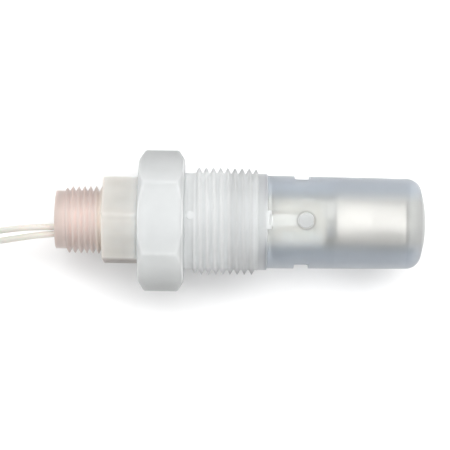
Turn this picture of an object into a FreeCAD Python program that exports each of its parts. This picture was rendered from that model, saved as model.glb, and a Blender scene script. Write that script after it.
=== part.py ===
# Liquid level switch: a two-thread plastic switch with a float inside a frosted slosh shield.
# Millimetres. +X runs along the axis from the lead wires to the shield's tip, +Z is up from the
# flat of the large hexagon that the switch lies on. X = 0 is the large hexagon's tank-side face.
import FreeCAD, Part
import Sketcher
import math
import os

os.makedirs("parts", exist_ok=True)
doc = FreeCAD.newDocument("liquid_level_switch")
V = FreeCAD.Vector

# ---------------------------------------------------------------- driving dimensions
SIZES = [
    # large hexagon, neck, tank thread and nose of the process bushing
    ("hexflats", 38.1, "large hexagon across flats, 1-1/2 in"),
    ("hexlong", 13.9, "large hexagon, length along the axis"),
    ("hexchamfer", 1.76, "corner chamfer, along the axis"),
    ("hexchamferfall", 2.8, "corner chamfer, radial"),
    ("neckdia", 29.5, "plain neck beside the hexagon"),
    ("necklong", 2.8, "neck length"),
    ("tankthreadbig", 33.2, "1 in NPT crest diameter at the hexagon end"),
    ("tankthreadsmall", 32.6, "1 in NPT crest diameter at the nose end"),
    ("tankthreadlong", 20.1, "tank thread length"),
    ("nosedia", 29.6, "plain nose"),
    ("noselong", 2.7, "nose length"),
    ("spigotdia", 25.6, "spigot inside the shield's rim"),
    ("spigotlong", 1.3, "spigot length"),
    ("bossbore", 16.0, "bore around the boss, behind the taper seat"),
    ("borestep", 14.5, "step to the wide bore"),
    ("bushbore", 22.0, "wide bore of the bushing, behind the thread"),
    ("femalebig", 21.3, "female taper seat, large end"),
    ("femalesmall", 20.43, "female taper seat, small end"),
    # snap arms
    ("armwide", 3.7, "snap arm width"),
    ("armouter", 12.55, "snap arm outer radius"),
    ("armthick", 1.5, "snap arm thickness"),
    ("armlong", 12.8, "snap arm length past the spigot"),
    ("armrootwide", 5.6, "root pad width"),
    ("armrootlong", 2.1, "root pad length along the axis"),
    ("armrootproud", 14.9, "root pad outer radius"),
    ("buttondia", 4.7, "snap button diameter"),
    ("buttonat", 37.3, "snap button position"),
    ("buttonproud", 14.15, "snap button outer radius"),
    # slosh shield
    ("shieldbig", 28.6, "shield diameter at the rim"),
    ("shieldsmall", 27.74, "shield diameter at the tip end"),
    ("shieldwall", 1.4, "shield wall"),
    ("shieldstraight", 46.55, "rim to the start of the end"),
    ("shielddomeat", 48.35, "rim to the shoulder of the dome"),
    ("shielddomedia", 12.4, "diameter at the shoulder of the dome"),
    ("shieldlong", 48.65, "shield length"),
    ("shieldcorner", 4.9, "outer corner radius"),
    ("slotwide", 4.6, "vent slot width along the axis"),
    ("slotlong", 11.8, "vent slot chord length"),
    ("slotcorner", 0.8, "vent slot corner radius"),
    ("slotat", 36.2, "vent slot position"),
    ("buttonhole", 5.1, "hole for the snap button"),
    ("tiphole", 3.0, "drain hole in the tip"),
    ("notchwide", 5.9, "rim notch for the root pad"),
    ("notchlong", 1.6, "rim notch depth along the axis"),
    # stem body
    ("conduitbig", 20.9, "1/2 in NPT crest diameter at the collar"),
    ("conduitsmall", 20.5, "1/2 in NPT crest diameter at the lead end"),
    ("conduitlead", 17.9, "plain lead diameter"),
    ("conduitleadlong", 2.8, "plain lead length"),
    ("conduitlong", 14.6, "lead end to the collar"),
    ("collarflats", 25.4, "small hexagon across flats, 1 in"),
    ("collarlong", 11.0, "small hexagon length"),
    ("collarturn", 56.1, "turn of the small hexagon about the axis"),
    ("bossdia", 15.5, "boss inside the shield"),
    ("bossend", 43.6, "boss end face"),
    ("stemdia", 8.0, "stem diameter"),
    ("stemend", 70.2, "stem end"),
    ("groovedia", 6.6, "retaining groove diameter"),
    ("grooveat", 68.9, "retaining groove start"),
    ("groovewide", 0.8, "retaining groove width"),
    ("pottingbore", 15.0, "bore of the conduit end"),
    ("pottingend", -18.0, "bottom of the conduit bore"),
    ("widebore", 10.0, "bore of the boss"),
    ("wideend", 41.0, "bottom of the wide bore"),
    ("reedbore", 5.2, "bore around the reed capsule"),
    ("reedend", 68.0, "bottom of the reed bore"),
    ("pottingface", -38.9, "outer face of the potting"),
    # float
    ("floatdia", 23.4, "float diameter"),
    ("floatstart", 46.0, "float start at rest"),
    ("floatlong", 22.5, "float length"),
    ("floatskin", 0.3, "drawn shell thickness"),
    ("floatcorner", 1.1, "float corner radius"),
    ("floatbore", 9.0, "inside of the float's centre tube"),
    ("tubewall", 0.3, "centre tube wall"),
    ("magnetouter", 13.0, "ring magnet outside"),
    ("magnetlong", 6.0, "ring magnet length"),
    # retaining clip
    ("clipouter", 12.0, "retaining clip outside"),
    # reed capsule and its leads
    ("reeddia", 2.2, "glass capsule diameter"),
    ("reedlong", 14.0, "glass capsule length"),
    ("reedstart", 50.0, "glass capsule start"),
    ("reedoff", 0.9, "capsule offset to the side"),
    ("returnoff", -1.6, "return lead offset to the side"),
    ("bladelead", 0.6, "reed lead diameter"),
    ("sleevelong", 9.0, "splice sleeve length"),
    ("sleevedia", 2.4, "splice sleeve diameter"),
    ("splicestart", 32.0, "splice sleeve start"),
    # lead wires, coil and tie
    ("leaddia", 2.0, "lead wire diameter"),
    ("coilin", 7.1, "coil inner radius"),
    ("coilout", 17.1, "coil outer radius"),
    ("coilhigh", 8.3, "coil height"),
    ("coilx", -83.0, "coil centre along the axis"),
    ("coily", -24.5, "coil centre to the side"),
    ("tiethick", 0.5, "tie thickness"),
    ("tieangle", 15.0, "tie width as an angle of the coil"),
    ("tipdia", 1.0, "bare conductor diameter"),
    ("tiplong", 8.0, "bare conductor length"),
]
sheet = doc.addObject("Spreadsheet::Sheet", "dims")
NUM = {}
for row, (alias, value, note) in enumerate(SIZES, start=1):
    sheet.set("A%d" % row, alias)
    sheet.set("B%d" % row, str(value))
    sheet.set("C%d" % row, note)
    sheet.setAlias("B%d" % row, alias)
    NUM[alias] = value
doc.recompute()


class Size:
    """A length as a number and as the expression that gives it."""

    def __init__(self, num, txt):
        self.num, self.txt = num, txt

    @staticmethod
    def of(value):
        return value if isinstance(value, Size) else Size(float(value), repr(float(value)))

    def __add__(self, other):
        o = Size.of(other)
        return Size(self.num + o.num, "(%s + %s)" % (self.txt, o.txt))

    def __sub__(self, other):
        o = Size.of(other)
        return Size(self.num - o.num, "(%s - %s)" % (self.txt, o.txt))

    def __mul__(self, other):
        o = Size.of(other)
        return Size(self.num * o.num, "(%s * %s)" % (self.txt, o.txt))

    def __truediv__(self, other):
        o = Size.of(other)
        return Size(self.num / o.num, "(%s / %s)" % (self.txt, o.txt))

    def __neg__(self):
        return Size(-self.num, "(0 - %s)" % self.txt)


def d(alias):
    return Size(sheet.get(alias), "dims.%s" % alias)


def origin_plane(body, role):
    for f in body.Origin.OriginFeatures:
        if f.Role == role:
            return f
    raise ValueError(role)


def turned(name, points):
    """A body turned about the X axis from a closed outline of (x, radius)."""
    body = doc.addObject("PartDesign::Body", name)
    sk = body.newObject("Sketcher::SketchObject", name + "_outline")
    sk.AttachmentSupport = [(origin_plane(body, "XY_Plane"), "")]
    sk.MapMode = "FlatFace"
    pts = [(Size.of(a), Size.of(b)) for a, b in points]
    n = len(pts)
    for i in range(n):
        a, b = pts[i], pts[(i + 1) % n]
        sk.addGeometry(Part.LineSegment(V(a[0].num, a[1].num, 0), V(b[0].num, b[1].num, 0)), False)
    for i in range(n):
        sk.addConstraint(Sketcher.Constraint("Coincident", i, 2, (i + 1) % n, 1))
    for i, (x, r) in enumerate(pts):
        for kind, val, axis, mark in (("DistanceX", x, -2, "x"), ("DistanceY", r, -1, "r")):
            if abs(val.num) < 1e-9:
                sk.addConstraint(Sketcher.Constraint("PointOnObject", i, 1, axis))
            else:
                c = sk.addConstraint(Sketcher.Constraint(kind, -1, 1, i, 1, val.num))
                sk.renameConstraint(c, "%s%d" % (mark, i))
                sk.setExpression("Constraints.%s%d" % (mark, i), val.txt)
    rev = body.newObject("PartDesign::Revolution", name + "_turn")
    rev.Profile = sk
    rev.ReferenceAxis = (sk, ["H_Axis"])
    rev.Angle = 360.0
    body.Tip = rev
    doc.recompute()
    return body


def bind(obj, **props):
    for key, val in props.items():
        val = Size.of(val)
        obj.setExpression(key.replace("_", "."), val.txt)
    return obj


def rod(name, radius, length, x, y=0.0, z=0.0, axis="X"):
    """A cylinder starting at (x, y, z) along an axis."""
    c = doc.addObject("Part::Cylinder", name)
    bind(c, Radius=radius, Height=length)
    turn = {"X": FreeCAD.Rotation(V(0, 1, 0), 90), "Y": FreeCAD.Rotation(V(1, 0, 0), -90), "Z": FreeCAD.Rotation()}[axis]
    x, y, z = Size.of(x), Size.of(y), Size.of(z)
    c.Placement = FreeCAD.Placement(V(x.num, y.num, z.num), turn)
    bind(c, Placement_Base_x=x, Placement_Base_y=y, Placement_Base_z=z)
    return c


def block(name, lx, ly, lz, x, y, z):
    """A box whose low corner is (x, y, z)."""
    b = doc.addObject("Part::Box", name)
    bind(b, Length=lx, Width=ly, Height=lz)
    x, y, z = Size.of(x), Size.of(y), Size.of(z)
    b.Placement = FreeCAD.Placement(V(x.num, y.num, z.num), FreeCAD.Rotation())
    bind(b, Placement_Base_x=x, Placement_Base_y=y, Placement_Base_z=z)
    return b


def hexagon(name, flats, length, x, turn):
    h = doc.addObject("Part::Prism", name)
    h.Polygon = 6
    bind(h, Circumradius=flats / math.sqrt(3.0), Height=length)
    h.Placement = FreeCAD.Placement(
        V(Size.of(x).num, 0, 0), FreeCAD.Rotation(V(1, 0, 0), turn) * FreeCAD.Rotation(V(0, 1, 0), 90)
    )
    bind(h, Placement_Base_x=x)
    return h


def common(name, a, b):
    o = doc.addObject("Part::Common", name)
    o.Base, o.Tool = a, b
    return o


def cut(name, a, b):
    o = doc.addObject("Part::Cut", name)
    o.Base, o.Tool = a, b
    return o


def fuse(name, shapes):
    o = doc.addObject("Part::MultiFuse", name)
    o.Shapes = shapes
    return o


NODES = []


def node(obj, label):
    obj.Label = label
    NODES.append(obj)
    return obj


# ---------------------------------------------------------------- process bushing
# One moulding: large hexagon, neck, tank thread (crest envelope), nose, spigot and two snap arms.
hexcorner = d("hexflats") / math.sqrt(3.0)
left = -d("hexlong")
thread0 = d("necklong")
thread1 = d("necklong") + d("tankthreadlong")
nose1 = thread1 + d("noselong")
spig1 = nose1 + d("spigotlong")
hex_a = hexagon("hex_blank", d("hexflats"), d("hexlong"), left, 30)
hex_b = turned(
    "hex_envelope",
    [
        (left, 0),
        (left, hexcorner - d("hexchamferfall")),
        (left + d("hexchamfer"), hexcorner + 0.01),
        (-d("hexchamfer"), hexcorner + 0.01),
        (0, hexcorner - d("hexchamferfall")),
        (0, 0),
    ],
)
hex_c = common("hex_chamfered", hex_a, hex_b)
barrel = turned(
    "bushing_barrel",
    [
        (-1.0, 0),
        (-1.0, d("neckdia") / 2),
        (thread0, d("neckdia") / 2),
        (thread0 + 0.7, d("tankthreadbig") / 2),
        (thread1 - 0.7, d("tankthreadsmall") / 2),
        (thread1, d("nosedia") / 2),
        (nose1, d("nosedia") / 2),
        (nose1, d("spigotdia") / 2 - 0.02),
        (spig1, d("spigotdia") / 2 - 0.02),
        (spig1, 0),
    ],
)
pad_block = block(
    "root_pad_block",
    d("armrootlong") + 0.1,
    d("armrootwide"),
    d("armrootproud") * 2,
    spig1 - d("armrootlong") - 0.1,
    -d("armrootwide") / 2,
    -d("armrootproud"),
)
pad_env = turned(
    "root_pad_envelope",
    [
        (spig1 - d("armrootlong") - 1, 0),
        (spig1 - d("armrootlong") - 1, d("armrootproud")),
        (spig1 - 0.1, d("armrootproud")),
        (spig1 - 0.1, 0),
    ],
)
pads = common("root_pads", pad_block, pad_env)
bushing_solid = fuse("bushing_solid", [hex_c, barrel, pads])
bushing_bore = turned(
    "bushing_bore",
    [
        (left - 1.0, 0),
        (left - 1.0, d("femalebig") / 2 + 1.0 / 32),
        (0, d("femalesmall") / 2),
        (0, d("bossbore") / 2),
        (d("borestep"), d("bossbore") / 2),
        (d("borestep"), d("bushbore") / 2),
        (spig1 + 1.0, d("bushbore") / 2),
        (spig1 + 1.0, 0),
    ],
)
bushing_hollow = cut("bushing_hollow", bushing_solid, bushing_bore)
arm_block = block(
    "arm_block",
    d("armlong") + 0.2,
    d("armwide"),
    d("armouter") * 2 + 2,
    spig1 - 0.2,
    -d("armwide") / 2,
    -d("armouter") - 1,
)
arm_ring = turned(
    "arm_ring",
    [
        (spig1 - 1, d("armouter") - d("armthick")),
        (spig1 - 1, d("armouter")),
        (spig1 + d("armlong") + 1, d("armouter")),
        (spig1 + d("armlong") + 1, d("armouter") - d("armthick")),
    ],
)
arms = common("snap_arms", arm_block, arm_ring)
button_up = rod(
    "button_up", d("buttondia") / 2, d("buttonproud") - d("armouter") + 1.0, d("buttonat"), 0, d("armouter") - 1.0, "Z"
)
button_down = rod(
    "button_down", d("buttondia") / 2, d("buttonproud") - d("armouter") + 1.0, d("buttonat"), 0, -d("buttonproud"), "Z"
)
node(fuse("process_bushing", [bushing_hollow, arms, button_up, button_down]), "process_bushing")

# ---------------------------------------------------------------- slosh shield
rim = nose1
shield = doc.addObject("PartDesign::Body", "shield_body")


def outline(body, name, points):
    sk = body.newObject("Sketcher::SketchObject", name)
    sk.AttachmentSupport = [(origin_plane(body, "XY_Plane"), "")]
    sk.MapMode = "FlatFace"
    pts = [(Size.of(a), Size.of(b)) for a, b in points]
    n = len(pts)
    for i in range(n):
        a, b = pts[i], pts[(i + 1) % n]
        sk.addGeometry(Part.LineSegment(V(a[0].num, a[1].num, 0), V(b[0].num, b[1].num, 0)), False)
    for i in range(n):
        sk.addConstraint(Sketcher.Constraint("Coincident", i, 2, (i + 1) % n, 1))
    for i, (x, r) in enumerate(pts):
        for kind, val, axis, mark in (("DistanceX", x, -2, "x"), ("DistanceY", r, -1, "r")):
            if abs(val.num) < 1e-9:
                sk.addConstraint(Sketcher.Constraint("PointOnObject", i, 1, axis))
            else:
                c = sk.addConstraint(Sketcher.Constraint(kind, -1, 1, i, 1, val.num))
                sk.renameConstraint(c, "%s%d" % (mark, i))
                sk.setExpression("Constraints.%s%d" % (mark, i), val.txt)
    return sk


def edge_at(shape, x, radius):
    """The name of the circular edge about the X axis at that place."""
    for i, e in enumerate(shape.Edges, start=1):
        if isinstance(e.Curve, Part.Circle) and abs(e.Curve.Center.x - x) < 0.02 and abs(e.Curve.Radius - radius) < 0.02:
            return "Edge%d" % i
    raise ValueError("no edge at %g, %g" % (x, radius))


shield_out = outline(
    shield,
    "shield_outline",
    [
        (rim, 0),
        (rim, d("shieldbig") / 2),
        (rim + d("shieldstraight"), d("shieldsmall") / 2),
        (rim + d("shielddomeat"), d("shielddomedia") / 2),
        (rim + d("shieldlong"), 0),
    ],
)
s1 = shield.newObject("PartDesign::Revolution", "shield_turn")
s1.Profile = shield_out
s1.ReferenceAxis = (shield_out, ["H_Axis"])
s1.Angle = 360.0
doc.recompute()
s2 = shield.newObject("PartDesign::Fillet", "shield_corner")
s2.Base = (s1, [edge_at(s1.Shape, (rim + d("shieldstraight")).num, d("shieldsmall").num / 2)])
s2.setExpression("Radius", "dims.shieldcorner")
doc.recompute()
wall = d("shieldwall")
shield_in = outline(
    shield,
    "shield_hollow",
    [
        (rim, 0),
        (rim, d("shieldbig") / 2 - wall),
        (rim + d("shieldstraight") - wall, d("shieldsmall") / 2 - wall),
        (rim + d("shielddomeat") - wall, d("shielddomedia") / 2),
        (rim + d("shieldlong") - wall, 0),
    ],
)
before = s2.Shape.Volume
s3 = shield.newObject("PartDesign::Groove", "shield_groove")
s3.Profile = shield_in
s3.ReferenceAxis = (shield_in, ["H_Axis"])
s3.Angle = 360.0
doc.recompute()
if s3.Shape.Volume > before * 0.5:
    raise ValueError("the shield's hollow was not cut")
s4 = shield.newObject("PartDesign::Fillet", "shield_inner_corner")
s4.Base = (s3, [edge_at(s3.Shape, (rim + d("shieldstraight") - wall).num, (d("shieldsmall") / 2 - wall).num)])
s4.setExpression("Radius", "dims.shieldcorner - dims.shieldwall")
shield.Tip = s4
doc.recompute()
slot_half = d("slotlong") / 2 - d("slotcorner")
slot_near = d("slotat") - d("slotwide") / 2 + d("slotcorner")
slot_far = d("slotat") + d("slotwide") / 2 - d("slotcorner")
slot_box = block(
    "slot_middle",
    d("slotwide"),
    d("shieldbig") + 4,
    slot_half * 2,
    d("slotat") - d("slotwide") / 2,
    -d("shieldbig") / 2 - 2,
    -slot_half,
)
slot_core = block(
    "slot_core",
    d("slotwide") - d("slotcorner") * 2,
    d("shieldbig") + 4,
    d("slotlong"),
    slot_near,
    -d("shieldbig") / 2 - 2,
    -d("slotlong") / 2,
)
slot_corners = [
    rod("slot_corner_%d" % (i + 1), d("slotcorner"), d("shieldbig") + 4, x, -d("shieldbig") / 2 - 2, z, "Y")
    for i, (x, z) in enumerate([(slot_near, slot_half), (slot_far, slot_half), (slot_near, -slot_half), (slot_far, -slot_half)])
]
hole = rod("button_holes", d("buttonhole") / 2, d("shieldbig") + 4, d("buttonat"), 0, -d("shieldbig") / 2 - 2, "Z")
drain = rod("tip_drain", d("tiphole") / 2, 8, rim + d("shieldlong") - 5, 0, 0, "X")
notch = block(
    "rim_notch",
    d("notchlong") + 1,
    d("notchwide"),
    d("shieldbig") + 4,
    rim - 1,
    -d("notchwide") / 2,
    -d("shieldbig") / 2 - 2,
)
shield_cuts = fuse("shield_cuts", [slot_box, slot_core] + slot_corners + [hole, drain, notch])
node(cut("slosh_shield", shield, shield_cuts), "slosh_shield")

# ---------------------------------------------------------------- stem body
# One moulding: conduit thread (crest envelope), small hexagon, taper seat, boss and stem.
lead_face = left - d("collarlong") - d("conduitlong")
collar0 = left - d("collarlong")
thread_c0 = lead_face + d("conduitleadlong")
stem_turned = turned(
    "stem_turned",
    [
        (lead_face, 0),
        (lead_face, d("conduitlead") / 2),
        (thread_c0, d("conduitlead") / 2),
        (thread_c0 + 0.6, d("conduitsmall") / 2),
        (collar0 - 0.6, d("conduitbig") / 2),
        (collar0, d("conduitlead") / 2 + 0.4),
        (collar0 + 1.0, d("conduitlead") / 2 + 0.4),
        (left, d("femalebig") / 2),
        (0, d("femalesmall") / 2),
        (0, d("bossdia") / 2),
        (d("bossend"), d("bossdia") / 2),
        (d("bossend"), d("stemdia") / 2),
        (d("grooveat"), d("stemdia") / 2),
        (d("grooveat"), d("groovedia") / 2),
        (d("grooveat") + d("groovewide"), d("groovedia") / 2),
        (d("grooveat") + d("groovewide"), d("stemdia") / 2),
        (d("stemend") - 0.3, d("stemdia") / 2),
        (d("stemend"), d("stemdia") / 2 - 0.3),
        (d("stemend"), 0),
    ],
)
collar_a = hexagon("collar_blank", d("collarflats"), d("collarlong"), collar0, NUM["collarturn"])
collarcorner = d("collarflats") / math.sqrt(3.0)
collar_b = turned(
    "collar_envelope",
    [
        (collar0, 0),
        (collar0, collarcorner - 0.9),
        (collar0 + 0.6, collarcorner + 0.01),
        (left, collarcorner + 0.01),
        (left, 0),
    ],
)
collar = common("collar_chamfered", collar_a, collar_b)
stem_solid = fuse("stem_solid", [stem_turned, collar])
stem_bore = turned(
    "stem_bore",
    [
        (lead_face - 1, 0),
        (lead_face - 1, d("pottingbore") / 2),
        (d("pottingend"), d("pottingbore") / 2),
        (d("pottingend"), d("widebore") / 2),
        (d("wideend"), d("widebore") / 2),
        (d("wideend"), d("reedbore") / 2),
        (d("reedend"), d("reedbore") / 2),
        (d("reedend"), 0),
    ],
)
node(cut("stem_body", stem_solid, stem_bore), "stem_body")

# ---------------------------------------------------------------- cords
# A wire's route is straight runs joined by arcs as large as the runs allow.
FLOOR = -19.05


def tube(points, radius, name):
    pts = [V(*p) for p in points]
    edges, at = [], pts[0]
    least = 1e9
    for i in range(1, len(pts) - 1):
        a, b = pts[i] - pts[i - 1], pts[i + 1] - pts[i]
        turn = a.getAngle(b)
        reach = 0.45 * min(a.Length, b.Length)
        bend = reach / math.tan(turn / 2)
        least = min(least, bend)
        u, w = V(a).normalize(), V(b).normalize()
        p0, p2 = pts[i] - u * reach, pts[i] + w * reach
        inward = (w - u).normalize()
        centre = pts[i] + inward * (bend / math.cos(turn / 2))
        p1 = centre - inward * bend
        edges.append(Part.LineSegment(at, p0).toShape())
        edges.append(Part.Arc(p0, p1, p2).toShape())
        at = p2
    edges.append(Part.LineSegment(at, pts[-1]).toShape())
    path = Part.Wire(edges)
    start = Part.Wire([Part.Circle(pts[0], pts[1] - pts[0], radius).toShape()])
    solid = path.makePipeShell([start], True, True)
    expected = math.pi * radius * radius * path.Length
    print(
        "%s: length %.1f, smallest bend %.1f, volume %.2f of %.2f"
        % (name, path.Length, least, solid.Volume, expected)
    )
    if abs(solid.Volume / expected - 1) > 0.01:
        raise ValueError(name + " has the wrong volume")
    return solid, path


LEAD_R = sheet.get("leaddia") / 2
FACE = sheet.get("pottingface")
SPLICE = sheet.get("splicestart")
# inside the switch: from the splices through the boss and the potting to the outer face
INNER_1 = [(SPLICE, 0.9, 0.0), (8.0, 0.92, 0.0), (-16.0, 0.7, 0.05), (-29.0, -1.9, 0.3), (FACE, -2.35, 0.3)]
INNER_2 = [(SPLICE, -1.6, 0.0), (8.0, -1.62, 0.0), (-16.0, -1.8, -0.05), (-29.0, -4.0, -0.2), (FACE, -4.42, -0.2)]
# free: from the potting's face down to the surface and into the coil
RUN_1 = [
    (FACE, -2.35, 0.3),
    (-44.6, -2.42, 0.1),
    (-50.6, -2.78, -1.7),
    (-57.2, -3.48, -5.2),
    (-64.0, -4.62, -9.5),
    (-71.0, -6.1, -13.1),
    (-78.0, -7.6, -15.2),
]
RUN_2 = [
    (FACE, -4.42, -0.2),
    (-44.4, -4.85, -0.5),
    (-50.4, -5.68, -2.5),
    (-57.0, -6.62, -6.3),
    (-63.6, -7.52, -11.0),
    (-70.5, -8.3, -15.0),
    (-77.8, -8.75, -17.25),
]
for number, (inner, run) in enumerate(((INNER_1, RUN_1), (INNER_2, RUN_2)), start=1):
    solid, _ = tube(inner, LEAD_R, "lead_%d_inner" % number)
    o = doc.addObject("Part::Feature", "lead_%d_inner" % number)
    o.Shape = solid
    o.Placement = FreeCAD.Placement()
    node(o, "lead_%d_inner" % number)
    solid, _ = tube(run, LEAD_R, "lead_%d_run" % number)
    o = doc.addObject("Part::Feature", "lead_%d_run" % number)
    o.Shape = solid
    o.Placement = FreeCAD.Placement()
    node(o, "lead_%d_run" % number)

# ---------------------------------------------------------------- potting
potting_rod = rod("potting_rod", d("pottingbore") / 2, d("pottingend") - d("pottingface"), d("pottingface"))
inner_pair = fuse("inner_pair", [doc.getObject("lead_1_inner"), doc.getObject("lead_2_inner")])
node(cut("potting", potting_rod, inner_pair), "potting")

# ---------------------------------------------------------------- coil, tie and bare ends
coil_base = FLOOR + sheet.get("tiethick")
coil_top = coil_base + sheet.get("coilhigh")
cx, cy = sheet.get("coilx"), sheet.get("coily")
ring_out = rod("coil_outside", d("coilout"), d("coilhigh"), d("coilx"), d("coily"), d("tiethick") + FLOOR, "Z")
ring_in = rod("coil_inside", d("coilin"), d("coilhigh") + 2, d("coilx"), d("coily"), d("tiethick") + FLOOR - 1, "Z")
node(cut("lead_coil", ring_out, ring_in), "lead_coil")
TIE_AT = 205.0
tie_out = rod("tie_outside", d("coilout") + d("tiethick"), d("coilhigh") + d("tiethick") * 2, d("coilx"), d("coily"), FLOOR, "Z")
tie_hole = rod("tie_inside", d("coilin") - d("tiethick"), d("coilhigh") + 4, d("coilx"), d("coily"), FLOOR - 1, "Z")
tie_out.setExpression("Angle", "dims.tieangle")
tie_out.Placement = FreeCAD.Placement(V(cx, cy, FLOOR), FreeCAD.Rotation(V(0, 0, 1), TIE_AT))
tie_ring = cut("tie_ring", tie_out, tie_hole)
tie_space = cut(
    "tie_space",
    rod("tie_space_outside", d("coilout"), d("coilhigh"), d("coilx"), d("coily"), d("tiethick") + FLOOR, "Z"),
    rod("tie_space_inside", d("coilin"), d("coilhigh") + 2, d("coilx"), d("coily"), d("tiethick") + FLOOR - 1, "Z"),
)
node(cut("coil_tie", tie_ring, tie_space), "coil_tie")

END_AT = math.radians(98.0 + 360.0 * 3.59 * 2 + 120.0)
for number, level in ((1, 3), (2, 2)):
    radius = 15.2
    p = V(cx + radius * math.cos(END_AT), cy + radius * math.sin(END_AT), coil_base + 1.0 + 2.07 * level)
    along = V(-math.sin(END_AT), math.cos(END_AT), 0)
    tip = doc.addObject("Part::Cylinder", "lead_%d_tip" % number)
    bind(tip, Radius=d("tipdia") / 2, Height=d("tiplong"))
    tip.Placement = FreeCAD.Placement(p, FreeCAD.Rotation(V(0, 0, 1), along))
    node(tip, "lead_%d_tip" % number)

# ---------------------------------------------------------------- float
f0 = d("floatstart")
f1 = f0 + d("floatlong")
fm = f0 + d("floatlong") / 2
fr = d("floatdia") / 2
fc = d("floatcorner")
fb = d("floatbore") / 2 + d("tubewall")
sk = d("floatskin")
q = 1 - math.sqrt(0.5)
for label, e, mid, sign in (("float_shell_lead_side", f0, fm, 1), ("float_shell_tip_side", f1, fm, -1)):

    def at(base, off):
        return base + off if sign > 0 else base - off

    node(
        turned(
            label,
            [
                (e, fb),
                (e, fr - fc),
                (at(e, fc * q), fr - fc * q),
                (at(e, fc), fr),
                (mid, fr),
                (mid, fr - sk),
                (at(e, fc), fr - sk),
                (at(e, fc * q + sk * 0.7), fr - fc * q - sk * 0.7),
                (at(e, sk), fr - fc),
                (at(e, sk), fb),
            ],
        ),
        label,
    )
node(
    turned(
        "float_tube",
        [(f0, d("floatbore") / 2), (f0, fb), (f1, fb), (f1, d("floatbore") / 2)],
    ),
    "float_tube",
)
node(
    turned(
        "float_magnet",
        [
            (fm - d("magnetlong") / 2, fb),
            (fm - d("magnetlong") / 2, d("magnetouter") / 2),
            (fm + d("magnetlong") / 2, d("magnetouter") / 2),
            (fm + d("magnetlong") / 2, fb),
        ],
    ),
    "float_magnet",
)

# ---------------------------------------------------------------- retaining clip, open on one side
clip_disc = turned(
    "clip_disc",
    [
        (d("grooveat") + 0.05, d("groovedia") / 2),
        (d("grooveat") + 0.05, d("clipouter") / 2),
        (d("grooveat") + d("groovewide") - 0.05, d("clipouter") / 2),
        (d("grooveat") + d("groovewide") - 0.05, d("groovedia") / 2),
    ],
)
clip_gap = block("clip_gap", 4, 4.6, 8, d("grooveat") - 1.5, -2.3, 0)
node(cut("float_clip", clip_disc, clip_gap), "float_clip")

# ---------------------------------------------------------------- reed capsule, blades, splices
rx0 = d("reedstart")
rx1 = rx0 + d("reedlong")
ro = d("reedoff")
glass_out = rod("glass_outside", d("reeddia") / 2, d("reedlong"), rx0, ro)
glass_in = rod("glass_inside", d("reeddia") / 2 - 0.25, d("reedlong") - 2.4, rx0 + 1.2, ro)
glass_pass = rod("glass_pass", d("bladelead") / 2, d("reedlong") + 2, rx0 - 1, ro)
node(cut("reed_glass", glass_out, fuse("glass_cuts", [glass_in, glass_pass])), "reed_glass")
splice1 = d("splicestart") + d("sleevelong")
lead_from = d("splicestart") + 0.2
blade_a = fuse(
    "reed_blade_lead_side",
    [
        rod("blade_a_lead", d("bladelead") / 2, rx0 + 1.6 - lead_from, lead_from, ro),
        block("blade_a_flat", 6.2, 0.9, 0.16, rx0 + 1.4, ro - 0.45, 0.06),
    ],
)
node(blade_a, "reed_blade_lead_side")
bend_r = (ro - d("returnoff")) / 2
blade_b_bend = doc.addObject("Part::Torus", "blade_b_bend")
bind(blade_b_bend, Radius1=bend_r, Radius2=d("bladelead") / 2)
blade_b_bend.Angle3 = 180
blade_b_bend.Placement = FreeCAD.Placement(
    V((rx1 + 1.4).num, (ro.num + sheet.get("returnoff")) / 2, 0), FreeCAD.Rotation(V(0, 0, 1), -90)
)
blade_b = fuse(
    "reed_blade_tip_side",
    [
        block("blade_b_flat", 6.2, 0.9, 0.16, rx1 - 7.6, ro - 0.45, -0.22),
        rod("blade_b_out", d("bladelead") / 2, 3.0, rx1 - 1.6, ro),
        blade_b_bend,
        rod("blade_b_back", d("bladelead") / 2, rx1 + 1.4 - lead_from, lead_from, d("returnoff")),
    ],
)
node(blade_b, "reed_blade_tip_side")
for number, off in ((1, ro), (2, d("returnoff"))):
    outer = rod("sleeve_%d_outside" % number, d("sleevedia") / 2, d("sleevelong"), d("splicestart") - 4.0, off)
    wire_part = rod("sleeve_%d_wire" % number, d("leaddia") / 2, 8, d("splicestart") - 8.0, off)
    lead_part = rod("sleeve_%d_lead" % number, d("bladelead") / 2, 12, d("splicestart") - 1, off)
    node(
        cut("splice_sleeve_%d" % number, outer, fuse("sleeve_%d_cuts" % number, [wire_part, lead_part])),
        "splice_sleeve_%d" % number,
    )
insul_out = rod("insulator_outside", 0.5, 25.0, d("splicestart") + 6, d("returnoff"))
insul_in = rod("insulator_inside", d("bladelead") / 2, 27.0, d("splicestart") + 5, d("returnoff"))
node(cut("return_lead_sleeve", insul_out, insul_in), "return_lead_sleeve")

# ---------------------------------------------------------------- checks and files
doc.recompute()
for obj in doc.Objects:
    for state in obj.State:
        if "Invalid" in state or "Error" in state:
            raise ValueError("%s is %s" % (obj.Label, state))
names = set()
for obj in NODES:
    shape = obj.Shape
    if shape.isNull() or not shape.isValid() or not shape.Solids:
        raise ValueError("%s has a bad shape" % obj.Label)
    if obj.Label in names:
        raise ValueError("two nodes are called " + obj.Label)
    names.add(obj.Label)
for obj in NODES:
    b = obj.Shape.BoundBox
    print(
        "%-24s solids %d  x %7.2f %7.2f  y %7.2f %7.2f  z %7.2f %7.2f  volume %9.2f"
        % (obj.Label, len(obj.Shape.Solids), b.XMin, b.XMax, b.YMin, b.YMax, b.ZMin, b.ZMax, obj.Shape.Volume)
    )
    obj.Shape.exportStep("parts/%s.step" % obj.Label)
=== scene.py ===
import math

import bmesh
import bpy
from mathutils import Matrix, Vector


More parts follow.
